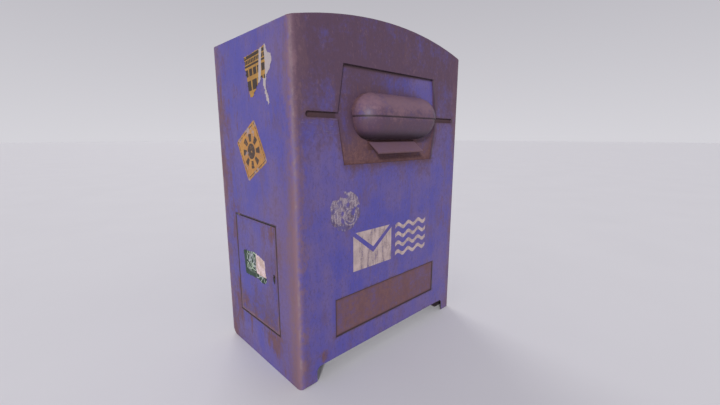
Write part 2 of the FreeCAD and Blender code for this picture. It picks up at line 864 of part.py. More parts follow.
def make_door_frame():
    """Jamb ring with a turned-in stop, pierced for the bolt and the pivot pins."""
    wall = frame_wall
    jamb = ring(door_inner_x, stop_x, grown(door_gap + wall), grown(door_gap))
    stop = ring(stop_x - wall, stop_x, grown(door_gap + wall), grown(door_gap - stop_width))
    frame = jamb.fuse(stop).removeSplitter()
    jamb_y = door_front - door_gap
    frame = frame.cut(bolt_hole(jamb_y - wall - past, jamb_y + past, bolt_clearance))
    for z in (door_bottom - door_gap - wall, door_top + door_gap):
        hole = rod(pin_radius, V(pivot_x, pivot_y, z - past), AXIS_Z, wall + 2 * past)
        frame = frame.cut(hole)
    return frame


def make_strike_plate():
    """Hardened plate behind the front jamb, slotted for the lock bolt."""
    jamb_back = door_front - door_gap - frame_wall
    reach = bolt_height / 2 + strike_border
    plate = block(bolt_front_x - strike_thickness, stop_x, jamb_back - strike_thickness, jamb_back,
                  key_z - reach, key_z + reach)
    slot = bolt_hole(jamb_back - strike_thickness - past, jamb_back + past, bolt_clearance)
    return plate.cut(slot)


def make_door_seal():
    """Rubber strip on the frame's stop: lock side, top and bottom; none on the hinge side."""
    hinge_clearance = 24.0
    y0, y1, z0, z1 = grown(-lip_inset)
    x0 = lip_end_x + seal_gap
    x1 = stop_x - frame_wall
    inside = (y0 + seal_width, y1 + far_past, z0 + seal_width, z1 - seal_width)
    strip = ring(x0, x1, (y0, y1, z0, z1), inside)
    return strip.cut(block(x0 - past, x1 + past, door_back - hinge_clearance, door_back + far_past,
                           door_bottom - far_past, door_top + far_past))


def make_pivot_pin(at_top):
    """Door pivot pin with a thrust collar, riveted in the frame."""
    upward = -1 if at_top else 1
    seat = door_top + door_gap if at_top else door_bottom - door_gap
    leaf_edge = door_top - lip_inset if at_top else door_bottom + lip_inset
    rivet_height = 2.0
    direction = V(0, 0, upward)
    collar_length = abs(leaf_edge - seat) - collar_gap
    root = V(pivot_x, pivot_y, seat - upward * (frame_wall + rivet_height))
    pin = rod(pin_radius, root, direction,
              frame_wall + rivet_height + collar_length + collar_gap + pin_reach)
    collar = rod(pin_collar_radius, V(pivot_x, pivot_y, seat), direction, collar_length)
    rivet = rod(pin_collar_radius, root, direction, rivet_height)
    return pin.fuse([collar, rivet]).removeSplitter()


# ---- collection door ----------------------------------------------------------------------

def make_door_leaf():
    """Flush door skin with the keyhole."""
    leaf = block(door_outer_x, door_inner_x, door_front, door_back, door_bottom, door_top)
    start = V(door_outer_x - past, key_y, key_z)
    length = sheet + 2 * past
    half_slot = keyhole_foot_radius * 0.6
    keyhole = [
        rod(keyhole_radius, start, AXIS_X, length),
        block(start.x, start.x + length, key_y - half_slot, key_y + half_slot,
              key_z - keyhole_drop, key_z),
        rod(keyhole_foot_radius, start - V(0, 0, keyhole_drop), AXIS_X, length),
    ]
    return leaf.cut(keyhole)


def make_door_lip():
    """Folded lip frame behind the door skin, with two cross ribs."""
    rib_inset_x = 4.0
    rib_foot = 16.0
    pin_clearance = 0.6
    bolt_fit = 0.5
    outer = grown(-lip_inset)
    inner = grown(-lip_inset - lip_wall)
    lip = ring(door_inner_x, lip_end_x, outer, inner)
    ribs = []
    for z in (door_bottom + rib_inset, door_top - rib_inset):
        rib = block(door_inner_x, lip_end_x - rib_inset_x, inner[0], inner[1], z, z + lip_wall)
        foot = block(door_inner_x, door_inner_x + lip_wall, inner[0], inner[1], z, z + rib_foot)
        ribs.append(rib.fuse(foot))
    lip = lip.fuse(ribs).removeSplitter()
    lip = lip.cut(bolt_hole(outer[0] - past, inner[0] + past, bolt_fit))
    for z in (outer[2], inner[3]):
        hole = rod(pin_radius + pin_clearance, V(pivot_x, pivot_y, z - past), AXIS_Z,
                   lip_wall + 2 * past)
        lip = lip.cut(hole)
    return lip


def make_pivot_block(at_top):
    """Bearing block in the door's corner that turns on the pivot pin."""
    wall_x = 6.5
    wall_y = 7.5
    inner = grown(-lip_inset - lip_wall)
    z0 = inner[3] - pivot_block_height if at_top else inner[2]
    bearing = block(door_inner_x, pivot_x + wall_x, pivot_y - wall_y, inner[1],
                    z0, z0 + pivot_block_height)
    return bearing.cut(rod(pin_radius + running_gap, V(pivot_x, pivot_y, z0 - past), AXIS_Z,
                           pivot_block_height + 2 * past))


# ---- lock ---------------------------------------------------------------------------------

def make_lock_case():
    """Closed case behind the skin; its front plate is the key hub's bearing."""
    guide_fit = 0.3
    y0 = case_front
    y1 = case_front + case_length
    z0 = key_z - case_half_height
    z1 = key_z + case_half_height
    case = block(door_inner_x, case_end_x, y0, y1, z0, z1)
    hollow = block(door_inner_x + case_wall, case_end_x - case_wall, y0 + case_wall,
                   y1 - case_wall, z0 + case_wall, z1 - case_wall)
    bearing = rod(hub_seat_radius + running_gap, V(door_inner_x - past, key_y, key_z), AXIS_X,
                  case_wall + 2 * past)
    guide = bolt_hole(y0 - past, y0 + case_wall + past, guide_fit)
    case = case.cut([hollow, bearing, guide])
    posts = [block(door_inner_x, case_end_x, y - post_half, y + post_half, z - post_half, z + post_half)
             for y, z in lock_screw_places()]
    case = case.fuse(posts).removeSplitter()
    return case.cut([rod(lock_screw_radius, V(case_end_x + past, y, z), V(-1, 0, 0), lip_depth)
                     for y, z in lock_screw_places()])


def lock_screw_places():
    ys = (case_front + lock_screw_inset, case_front + case_length - lock_screw_inset)
    zs = (key_z - case_half_height + lock_screw_inset, key_z + case_half_height - lock_screw_inset)
    return [(y, z) for y in ys for z in zs]


def make_lock_screws():
    head_radius = 3.2
    head_height = 1.8
    shank_length = 10.0
    screws = []
    for y, z in lock_screw_places():
        shank = rod(lock_screw_radius, V(case_end_x, y, z), V(-1, 0, 0), shank_length)
        head = rod(head_radius, V(case_end_x, y, z), AXIS_X, head_height)
        rim = [edge for edge in head.Edges if edge.BoundBox.XMin > case_end_x + head_height - 0.1]
        screws.append(shank.fuse(head.makeFillet(head_height / 2, rim)).removeSplitter())
    return screws


def make_lock_bolt():
    """Flat dead bolt, drawn back at rest, slotted for the cam pin."""
    tip = door_front + 1.0
    tail = case_front + case_length - case_wall - 1.0
    bolt = bolt_hole(tip, tail, 0.0)
    slot_y = key_y + cam_offset
    slot_half_width = cam_pin_radius + cam_play
    slot = block(bolt_front_x - past, bolt_front_x + bolt_thickness + past,
                 slot_y - slot_half_width, slot_y + slot_half_width,
                 key_z + cam_offset - cam_pin_radius - 2 * cam_play,
                 key_z + cam_radius + cam_pin_radius + 2 * cam_play)
    return bolt.cut(slot)


def make_lock_hub():
    """Key hub with its retaining flange, key slot and cam pin."""
    face_gap = 0.3
    seat_length = 3.0
    key_slot_depth = 2.0
    key_slot_half = 1.2
    key_slot_reach = 5.0
    seat = rod(hub_seat_radius, V(door_inner_x + face_gap, key_y, key_z), AXIS_X, seat_length)
    flange_x = door_inner_x + case_wall + hub_flange_gap
    flange = rod(hub_flange_radius, V(flange_x, key_y, key_z), AXIS_X, hub_top_x - flange_x)
    pin = rod(cam_pin_radius, V(flange_x, key_y + cam_offset, key_z + cam_offset), AXIS_X,
              bolt_front_x + bolt_thickness - flange_x - 1.0)
    hub = seat.fuse([flange, pin]).removeSplitter()
    key_slot = block(door_inner_x - past, door_inner_x + key_slot_depth,
                     key_y - key_slot_half, key_y + key_slot_half,
                     key_z - key_slot_reach, key_z + key_slot_reach)
    return hub.cut(key_slot)


# ---- write every sub-part -----------------------------------------------------------------

save("body_shell", make_body_shell())
save("back_cover", make_back_cover())
save("back_screws", make_back_screws())
save("floor_plate", make_floor_plate())
save("floor_screws", make_floor_screws())
foot_rail = make_foot_rail()
save("foot_rail_right", foot_rail)
save("foot_rail_left", mirrored_x(foot_rail))
save("roof_rib", make_roof_rib())
save("panel_rim", make_panel_rim())
save("posting_panel", make_posting_panel())
save("panel_studs", make_panel_studs())
save("hood", make_hood())
save("posting_shutter", make_shutter())
save("shutter_arms", make_shutter_arms())
save("shutter_bushes", make_shutter_bushes())
save("pivot_rod", make_pivot_rod())
save("rod_clips", make_rod_clips())
save("pivot_brackets", make_pivot_brackets())
save("stop_buffers", make_stop_buffers())
save("letter_ledge", make_letter_ledge())
save("letter_chute", make_letter_chute())
save("baffle", make_baffle())
save("sloping_floor", make_sloping_floor())
save("slope_trestles", make_slope_trestles())
save("notice_panel", make_notice_panel())
save("notice_studs", make_notice_studs())
save("door_frame", make_door_frame())
save("strike_plate", make_strike_plate())
save("door_seal", make_door_seal())
save("pivot_pin_bottom", make_pivot_pin(False))
save("pivot_pin_top", make_pivot_pin(True))
save("door_leaf", make_door_leaf())
save("door_lip", make_door_lip())
save("pivot_block_bottom", make_pivot_block(False))
save("pivot_block_top", make_pivot_block(True))
save("lock_case", make_lock_case())
save("lock_screws", make_lock_screws())
save("lock_bolt", make_lock_bolt())
save("lock_hub", make_lock_hub())
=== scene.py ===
# %% [markdown]
# # A street post box, weathered
#
# The engineering model already holds every sheet, pin and screw of this post box at its real size.
# This lesson gives it its looks: old blue enamel, rubbed edges, rust, torn bills and a painted mark.
# Everything is in metres, +Z up, with the posting front facing -Y.

# %% Load the engineering model
import json
import math

import bpy
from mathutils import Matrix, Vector, noise


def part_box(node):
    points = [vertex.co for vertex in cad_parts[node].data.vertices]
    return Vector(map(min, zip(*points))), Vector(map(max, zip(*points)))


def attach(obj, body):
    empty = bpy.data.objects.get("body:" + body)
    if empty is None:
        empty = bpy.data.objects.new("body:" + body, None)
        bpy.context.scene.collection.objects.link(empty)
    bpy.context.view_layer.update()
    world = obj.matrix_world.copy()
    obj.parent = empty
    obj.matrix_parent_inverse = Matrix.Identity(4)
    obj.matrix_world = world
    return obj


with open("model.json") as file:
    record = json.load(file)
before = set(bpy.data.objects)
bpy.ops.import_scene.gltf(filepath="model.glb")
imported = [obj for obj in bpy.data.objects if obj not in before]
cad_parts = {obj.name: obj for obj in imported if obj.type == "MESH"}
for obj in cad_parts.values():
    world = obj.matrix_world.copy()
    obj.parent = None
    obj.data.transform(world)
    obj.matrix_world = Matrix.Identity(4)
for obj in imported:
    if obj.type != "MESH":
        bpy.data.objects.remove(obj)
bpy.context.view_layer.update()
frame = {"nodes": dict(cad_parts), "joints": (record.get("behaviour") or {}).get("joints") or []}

# %% [markdown]
# ## Places that everything else is worked out from
#
# The welded shell, the posting panel, the door and the pivot line of the shutter fix where the
# new pieces go, so their places are read from the model once and given plain names.

# %% Read the main places
shell_low, shell_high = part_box("body_shell")
door_low, door_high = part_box("door_leaf")
notice_low, notice_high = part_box("notice_panel")
ledge_low, ledge_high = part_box("letter_ledge")
pivot = Vector(next(j for j in frame["joints"] if j["name"] == "shutter_roll")["pos_m"])

front_y = shell_low.y
side_x = shell_low.x
half_width = shell_high.x
crown_z = shell_high.z
print("front plane y", round(front_y, 4), "side plane x", round(side_x, 4), "crown z", round(crown_z, 4))

# %% [markdown]
# ## The camera
#
# The box is seen from its left front corner, a little above half its height, through a wide lens,
# so the near upright edge is tall and both walls fall away quickly. The camera is placed first,
# because every later choice is judged through it.

# %% Place the camera
camera_place = Vector((-0.998, -1.125, 0.827))
camera_heading = math.radians(43.6)
camera_tilt = math.radians(10.69)
lens_length = 17.57
sensor_width = 36.0

bpy.ops.object.select_all(action="DESELECT")
bpy.ops.object.camera_add(location=camera_place,
                          rotation=(math.pi / 2 - camera_tilt, 0.0, -camera_heading))
camera = bpy.context.object
camera.name = "camera"
camera.data.sensor_width = sensor_width
camera.data.lens = lens_length
bpy.context.scene.camera = camera
print("camera lens", camera.data.lens, "mm")

# %% [markdown]
# ## Studio light and floor
#
# A broad lamp far away on the left lights the side fully and rakes across the front, so the recess,
# the grooves and the ledge get short soft shadows to the right. A weak lamp lights the back. The sky
# is a little paler at the horizon than overhead, which hides where the floor ends.

# %% Light the studio
def far_lamp(name, azimuth, elevation, power, softness):
    """Add a distant lamp; azimuth 0 is in front of the box and grows towards its left side."""
    bpy.ops.object.light_add(type="SUN", location=(0.0, 0.0, 4.0))
    lamp = bpy.context.object
    lamp.name = name
    lamp.data.energy = power
    lamp.data.angle = math.radians(softness)
    a = math.radians(azimuth)
    e = math.radians(elevation)
    towards = Vector((math.sin(a) * math.cos(e), math.cos(a) * math.cos(e), -math.sin(e)))
    lamp.rotation_euler = towards.to_track_quat("-Z", "Y").to_euler()
    return lamp


far_lamp("key_lamp", 51.0, 17.0, 2.7, 7.0)
far_lamp("back_lamp", 200.0, 38.0, 0.7, 30.0)

bpy.context.scene.view_settings.view_transform = "Standard"
horizon_colour = (0.66, 0.65, 0.69)
overhead_colour = (0.38, 0.37, 0.41)
world = bpy.data.worlds.new("pale_sky")
bpy.context.scene.world = world
world.use_nodes = True
sky = world.node_tree
direction = sky.nodes.new("ShaderNodeTexCoord")
height = sky.nodes.new("ShaderNodeSeparateXYZ")
gradient = sky.nodes.new("ShaderNodeValToRGB")
gradient.color_ramp.elements[0].color = (*horizon_colour, 1.0)
gradient.color_ramp.elements[1].color = (*overhead_colour, 1.0)
gradient.color_ramp.elements[1].position = 0.6
sky.links.new(direction.outputs["Generated"], height.inputs[0])
sky.links.new(height.outputs["Z"], gradient.inputs["Fac"])
sky.links.new(gradient.outputs["Color"], sky.nodes["Background"].inputs["Color"])

floor_size = 120.0
bpy.ops.object.select_all(action="DESELECT")
bpy.ops.mesh.primitive_plane_add(size=floor_size, location=(0.0, 0.0, 0.0))
floor = bpy.context.object
floor.name = "studio_floor"

# %% [markdown]
# ## A small language for finishes
#
# A finish is a formula over the surface: how blue, how rusty, how rough at each point. Typed as
# Python expressions it stays readable, so `Field` wraps one node socket and its operators add
# Math nodes, while `Finish.node` adds any other node.

# %% Field and Finish
class Field:
    """A value that varies over a surface."""

    def __init__(self, finish, socket):
        self.finish = finish
        self.socket = socket

    def __add__(self, other):
        return self.finish.math("ADD", self, other)

    def __radd__(self, other):
        return self.finish.math("ADD", other, self)

    def __sub__(self, other):
        return self.finish.math("SUBTRACT", self, other)

    def __rsub__(self, other):
        return self.finish.math("SUBTRACT", other, self)

    def __mul__(self, other):
        return self.finish.math("MULTIPLY", self, other)

    def __rmul__(self, other):
        return self.finish.math("MULTIPLY", other, self)

    def __truediv__(self, other):
        return self.finish.math("DIVIDE", self, other)

    def __abs__(self):
        return self.finish.math("ABSOLUTE", self)

    def __or__(self, other):
        """The larger of two masks."""
        return self.finish.math("MAXIMUM", self, other)


class Finish:
    """One procedural material, built as expressions on Fields."""

    def __init__(self, name):
        self.material = bpy.data.materials.new(name)
        self.material.use_nodes = True
        self.tree = self.material.node_tree
        self.shader = self.tree.nodes["Principled BSDF"]
        place = self.node("ShaderNodeTexCoord").outputs
        self.place = Field(self, place["Object"])
        self.facing = Field(self, place["Normal"])
        self.x, self.y, self.z = self.split(self.place)

    def node(self, kind, settings=None, inputs=None):
        """Add a node: its settings first, then the values or links of its sockets."""
        node = self.tree.nodes.new(kind)
        for key, value in (settings or {}).items():
            setattr(node, key, value)
        for key, value in (inputs or {}).items():
            self.feed(node.inputs[key], value)
        return node

    def feed(self, socket, value):
        if isinstance(value, Field):
            self.tree.links.new(value.socket, socket)
        elif isinstance(value, (tuple, list)) and len(value) == 3 and socket.type == "RGBA":
            socket.default_value = (*value, 1.0)
        else:
            socket.default_value = value

    def math(self, operation, first, second=0.0):
        node = self.node("ShaderNodeMath", {"operation": operation}, {0: first, 1: second})
        return Field(self, node.outputs[0])

    def split(self, vector):
        outputs = self.node("ShaderNodeSeparateXYZ", None, {0: vector}).outputs
        return [Field(self, output) for output in outputs]

    def moved(self, offset=(0, 0, 0), stretch=(1, 1, 1)):
        """Object coordinates stretched, then shifted."""
        inputs = {"Vector": self.place, "Location": offset, "Scale": stretch}
        return Field(self, self.node("ShaderNodeMapping", None, inputs).outputs[0])

    def noise(self, scale, detail=4.0, roughness=0.55, stretch=(1, 1, 1), shift=0.0):
        vector = self.moved((shift, shift * 1.7, shift * 0.6), stretch)
        inputs = {"Vector": vector, "Scale": scale, "Detail": detail, "Roughness": roughness}
        return Field(self, self.node("ShaderNodeTexNoise", None, inputs).outputs[0])

    def cells(self, scale):
        inputs = {"Vector": self.moved(), "Scale": scale}
        node = self.node("ShaderNodeTexVoronoi", {"feature": "F1"}, inputs)
        return Field(self, node.outputs["Distance"])

    def ramp(self, value, low, high):
        """0 below low, 1 above high, smooth between; low may be the larger."""
        inputs = {"Value": value, "From Min": low, "From Max": high}
        node = self.node("ShaderNodeMapRange", {"interpolation_type": "SMOOTHSTEP"}, inputs)
        return Field(self, node.outputs[0])

    def band(self, value, centre, reach, soft):
        """1 within reach of centre, falling to 0 over soft."""
        return self.ramp(abs(value - centre), reach + soft, reach)

    def mix(self, factor, first, second):
        """Blend two colours."""
        node = self.node("ShaderNodeMix", {"data_type": "RGBA"}, {0: factor, 6: first, 7: second})
        return Field(self, node.outputs[2])

    def bump(self, height, distance, strength=1.0, normal=None):
        inputs = {"Height": height, "Distance": distance, "Strength": strength}
        if normal:
            inputs["Normal"] = normal
        return Field(self, self.node("ShaderNodeBump", None, inputs).outputs[0])

    def surface(self, **sockets):
        """Feed the shader; names use _ for a space, such as Base_Color."""
        for name, value in sockets.items():
            self.feed(self.shader.inputs[name.replace("_", " ")], value)
        return self.material


print("finish helpers ready")

# %% [markdown]
# ## The floor finish
#
# A studio floor is a plain pale sheet. A very faint mottle keeps it from looking like a void.

# %% Finish the floor
def make_floor_finish():
    f = Finish("pale_floor")
    mottle = f.noise(1.5, 3.0)
    colour = f.mix(mottle, (0.74, 0.73, 0.75), (0.78, 0.77, 0.79))
    return f.surface(Base_Color=colour, Roughness=0.85)


floor.data.materials.append(make_floor_finish())

# %% [markdown]
# ## Old blue enamel
#
# The box was sprayed blue over a pinkish primer. Sun and rain faded it unevenly, soot settled on
# the upper front, hands and weather rubbed the edges through to the primer, and water carried
# rust downwards from every edge. One function mixes those layers from three masks, so each panel
# only has to say where it is dirty, rubbed or rusty. Some dirt masks also carry painted shade in
# recesses, under the hood and along seams, and the soot tone paints that shade too.

# %% Colours of the layers
clean_blue = (0.070, 0.062, 0.285)
faded_blue = (0.128, 0.090, 0.232)
soot_and_shade = (0.086, 0.046, 0.078)
primer = (0.190, 0.108, 0.142)
rust_dark = (0.098, 0.042, 0.040)
rust_light = (0.158, 0.078, 0.074)
rust_brown = (0.120, 0.064, 0.078)
deep_dirt = (0.058, 0.038, 0.080)
bare_metal = (0.330, 0.290, 0.300)


def old_enamel(f, grime_and_shade, wear, rust, gloss=0.50):
    """Layer paint, dirt and painted shade, rubbed primer and rust by their masks; returns colour,
    roughness, height.
    """
    broad = f.noise(2.6, 4.0, 0.6)
    patch = f.noise(11.0, 6.0, 0.62, shift=3.0)
    fine = f.noise(75.0, 5.0, 0.65, shift=7.0)
    speck = f.noise(310.0, 3.0, 0.6, shift=1.5)
    runs = f.noise(24.0, 5.0, 0.62, stretch=(1.0, 1.0, 0.11), shift=5.0)
    fade = f.ramp(broad * 0.45 + patch * 0.30 + runs * 0.25, 0.38, 0.62)
    colour = f.mix(fade, clean_blue, faded_blue)
    # The dirt film darkens by the dirt mask, which on some panels also holds painted shade.
    film = f.ramp(grime_and_shade + (patch - 0.5) * 1.00 + (runs - 0.5) * 0.70 + (fine - 0.5) * 0.90, 0.10, 0.95)
    colour = f.mix(film, colour, soot_and_shade)
    scuffs = f.ramp(f.noise(120.0, 4.0, 0.7, stretch=(1.0, 1.0, 0.45), shift=11.0), 0.56, 0.70)
    colour = f.mix(scuffs * 0.34, colour, primer)
    smut = f.ramp(f.noise(140.0, 4.0, 0.75, stretch=(1.0, 1.0, 0.6), shift=17.0), 0.50, 0.68)
    colour = f.mix(smut * 0.42, colour, deep_dirt)
    stains = f.ramp(f.noise(15.0, 6.0, 0.72, stretch=(1.0, 1.0, 0.40), shift=21.0), 0.53, 0.66)
    colour = f.mix(stains * 0.36, colour, rust_brown)
    rub_field = wear + (patch - 0.5) * 0.80 + (fine - 0.5) * 1.10
    rubbed = f.ramp(rub_field, 0.30, 0.90)
    colour = f.mix(rubbed * 0.80, colour, primer)
    rust_field = rust + (patch - 0.5) * 0.70 + (fine - 0.5) * 0.60 + (runs - 0.5) * 0.40
    rusted = f.ramp(rust_field, 0.30, 0.90)
    rust_tone = f.mix(f.ramp(fine + speck * 0.6, 0.55, 1.05), rust_dark, rust_light)
    colour = f.mix(rusted * 0.86, colour, rust_tone)
    pits = f.ramp(speck, 0.64, 0.78) * 0.40
    colour = f.mix(pits, colour, soot_and_shade)
    roughness = gloss + film * 0.14 + rusted * 0.25 + (fine - 0.5) * 0.16
    height = fine * 0.25 + speck * 0.10 - rubbed * 0.30 + rusted * (fine - 0.35) * 0.9 - pits * 0.3
    return colour, roughness, height


def painted(f, layers, depth=0.0012, strength=0.55):
    """Feed a painted panel's shader from the three results of old_enamel."""
    colour, roughness, height = layers
    f.shader.inputs["Specular IOR Level"].default_value = 0.32
    return f.surface(Base_Color=colour, Roughness=roughness, Normal=f.bump(height, depth, strength))


print("enamel layers:", clean_blue, soot_and_shade, primer, rust_light)

# %% [markdown]
# ## Distances that masks are made of
#
# Dirt gathers along edges, so most masks are a distance to an outline: a rectangle for the door
# and the notice panel, and a six-sided outline for the posting panel. Both are plain formulas of
# two coordinates, negative inside the outline and positive outside.

# %% Outline distances
def rectangle_distance(a, b, low, high):
    """Distance outside a rectangle given by two corners; negative inside."""
    middle = [(low[0] + high[0]) / 2, (low[1] + high[1]) / 2]
    half = [(high[0] - low[0]) / 2, (high[1] - low[1]) / 2]
    return (abs(a - middle[0]) - half[0]) | (abs(b - middle[1]) - half[1])


door_gap = 0.004
door_open_low = (door_low.y - door_gap, door_low.z - door_gap)
door_open_high = (door_high.y + door_gap, door_high.z + door_gap)
notice_lap = 0.014
notice_open_low = (notice_low.x + notice_lap, notice_low.z + notice_lap)
notice_open_high = (notice_high.x - notice_lap, notice_high.z - notice_lap)

panel_middle = pivot.z
hexagon_half_height = 0.159
hexagon_middle_half = 0.267
hexagon_taper = 0.16


def hexagon_distance(f):
    """Distance outside the posting panel's six sides, measured on the front."""
    rise = abs(f.z - panel_middle)
    side = abs(f.x) + rise * hexagon_taper - hexagon_middle_half
    return side | (rise - hexagon_half_height)


def groove_distance(f):
    """Distance outside the two side grooves."""
    return (abs(f.x) - 0.389) | (abs(f.z - panel_middle) - 0.0095)


def turned(a, b, centre, angle):
    """Two coordinates about a centre, turned by an angle in degrees."""
    cosine = math.cos(math.radians(angle))
    sine = math.sin(math.radians(angle))
    from_a = a - centre[0]
    from_b = b - centre[1]
    return from_a * cosine + from_b * sine, from_b * cosine - from_a * sine


print("posting panel outline is", 2 * hexagon_middle_half, "m wide at its middle")

# %% [markdown]
# ## The welded shell
#
# Soot darkens the upper front, brown halos surround every opening, the upright corners are rubbed
# down to primer with a thin bright line on the very edge, partly bare metal and partly a painted
# highlight, and the rear of each side carries long rusty runs. The groove floors are painted nearly
# black, partly dirt and partly painted shade, and a painted dark line of shade marks the door gap.
# The inside was never enamelled, only primed, so faces that look inwards get a dull dusty grey.

# %% Finish the shell
def corner_distance(f):
    """Distance from the shell's upright edges."""
    from_side = half_width - abs(f.x)
    middle_y = (shell_low.y + shell_high.y) / 2
    from_front = (shell_high.y - shell_low.y) / 2 - abs(f.y - middle_y)
    return f.math("SQRT", from_side * from_side + from_front * from_front)


def outward(f, centre):
    """1 on faces that look away from a centre, 0 on faces that look towards it."""
    nx, ny, nz = f.split(f.facing)
    away = (f.x - centre.x) * nx + (f.y - centre.y) * ny + (f.z - centre.z) * nz
    return f.ramp(away, -0.004, 0.004)


def make_shell_finish():
    f = Finish("shell_enamel")
    _, facing_y, facing_z = f.split(f.facing)
    on_front = f.ramp(facing_y, -0.4, -0.9)
    on_side = 1 - f.ramp(abs(facing_y), 0.4, 0.9)
    on_roof = f.ramp(facing_z, 0.3, 0.8)
    corner = corner_distance(f)
    # The thin bright line on the upright edge is partly rubbed bare metal and partly a painted highlight.
    bare_line_and_highlight = f.ramp(corner, 0.0125, 0.0060)
    rubbed_edge = f.ramp(corner, 0.026, 0.006)
    halo = f.ramp(corner, 0.075, 0.008)
    soot_height = f.ramp(f.z, 0.60, 1.10)
    foot = f.ramp(f.z, 0.26, 0.0)
    around_panel = f.ramp(hexagon_distance(f), 0.030, 0.0) * on_front
    around_groove = f.ramp(groove_distance(f), 0.010, 0.0) * on_front
    in_groove_dirt_and_shade = f.ramp(f.y, front_y + 0.001, front_y + 0.003) * around_groove
    below_panel = (f.ramp(f.z, 0.60, 0.735) * f.ramp(f.z, 0.742, 0.736)
                   * f.ramp(abs(f.x), 0.27, 0.22) * on_front)
    notice_line = rectangle_distance(f.x, f.z, notice_open_low, notice_open_high)
    around_notice = f.ramp(notice_line, 0.012, 0.0) * on_front
    door_line = rectangle_distance(f.y, f.z, door_open_low, door_open_high)
    left_side = on_side * f.ramp(f.x, 0.0, -0.4)
    around_door = f.ramp(door_line, 0.007, 0.0) * left_side
    wide_door_halo = f.ramp(door_line, 0.075, 0.0) * left_side
    rear_part = f.ramp(f.y, 0.00, 0.22) * on_side
    low_front_part = f.ramp(f.y, -0.05, -0.22) * f.ramp(f.z, 0.80, 0.45) * left_side
    grime_and_shade = (on_front * soot_height * 0.86 + halo * 0.34 + on_roof * 0.60 + foot * 0.18
             + around_panel * 0.30 + around_groove * 0.22 + around_notice * 0.45
             + around_door * 0.55 + wide_door_halo * 0.20 + low_front_part * 0.16
             + rear_part * 0.20 + below_panel * 0.30
             + in_groove_dirt_and_shade * 0.8)
    smears = f.noise(17.0, 4.0, 0.62, stretch=(1.0, 1.0, 0.24), shift=9.0)
    thin_smears = f.noise(70.0, 3.0, 0.55, stretch=(1.0, 1.0, 0.14), shift=2.5)
    side_smears = f.ramp(smears + rear_part * 0.06, 0.53, 0.64) * (0.45 + rear_part * 0.55) * on_side
    thin_runs = f.ramp(thin_smears, 0.60, 0.70) * (on_side * 0.75 + on_front * 0.40)
    below_door = (f.band(f.y, -0.01, 0.11, 0.05) * f.ramp(f.z, 0.165, 0.125) * f.ramp(f.z, 0.03, 0.08)
                  * f.ramp(smears, 0.42, 0.54) * left_side)
    right_stain = (f.band(f.x, 0.350, 0.020, 0.045) * f.band(f.z, 0.50, 0.06, 0.10) * on_front)
    foot_scrape = (f.band(f.x, -0.345, 0.004, 0.050) * f.band(f.z, 0.085, 0.004, 0.045)
                   * f.ramp(smears, 0.40, 0.58) * on_front)
    rust = (rubbed_edge * 0.12 + side_smears * 0.50 + thin_runs * 0.52 + below_door * 0.66
            + below_panel * 0.22 + around_notice * 0.20 + around_panel * 0.14 + around_door * 0.16
            + foot_scrape * 0.80 + right_stain * 0.30 + foot * 0.06 + in_groove_dirt_and_shade * 0.25 + halo * 0.10
            + wide_door_halo * 0.20 + 0.04)
    wear = rubbed_edge * 0.10 + halo * 0.36 + bare_line_and_highlight * 0.10 + low_front_part * 0.30 + on_side * 0.06
    colour, roughness, height = old_enamel(f, grime_and_shade, wear, rust)
    chips = f.ramp(f.noise(38.0, 5.0, 0.7, stretch=(1.0, 1.0, 0.5), shift=6.0), 0.50, 0.64)
    # Groove floors painted nearly black: partly dirt, partly painted shade of the recess.
    colour = f.mix(in_groove_dirt_and_shade * 0.45, colour, (0.030, 0.016, 0.018))
    brown = halo * f.ramp(smears * 0.5 + chips * 0.5, 0.10, 0.50)
    colour = f.mix(brown * 0.66 + low_front_part * 0.40, colour, (0.166, 0.092, 0.116))
    # Lighten the very edge towards bare metal, partly as a painted highlight.
    colour = f.mix(bare_line_and_highlight * (0.06 + chips * 0.30), colour, bare_metal)
    # A painted dark line of shade along the door gap.
    door_gap_shade = f.ramp(abs(door_line), 0.0040, 0.0018) * left_side
    colour = f.mix(door_gap_shade * 0.60, colour, (0.028, 0.016, 0.020))
    scratch = f.noise(260.0, 3.0, 0.6, stretch=(0.14, 0.14, 1.0), shift=13.0)
    near_groove = (f.band(f.z, 0.855, 0.018, 0.014) * f.band(f.x, -0.330, 0.065, 0.03) * on_front)
    colour = f.mix(f.ramp(scratch, 0.58, 0.70) * near_groove * 0.20, colour, bare_metal)
    dusty = f.mix(f.ramp(f.noise(14.0, 5.0), 0.42, 0.66), (0.072, 0.060, 0.070), (0.120, 0.098, 0.100))
    outside = outward(f, Vector((0.0, 0.0, 0.6)))
    colour = f.mix(outside, dusty, colour)
    return painted(f, (colour, roughness, height))


shell_finish = make_shell_finish()
print("shell finish has", len(shell_finish.node_tree.nodes), "nodes")

# %% [markdown]
# ## The recessed posting panel and its rim
#
# Rain can't wash a recess clean, so the panel's corners and the grooves hold brown dirt. The dark
# lines along the recess edges and the dark groove floors are partly that dirt and partly painted
# shade, the band along the top edge is a painted shadow, and the dirt round the hood is partly a
# painted contact shadow. The upper right of the panel is sheltered by nothing and stays blue, while
# rust runs down over the lower half from the hood's welds. The rim around it is painted nearly all
# dark, partly dirt and partly painted shade.

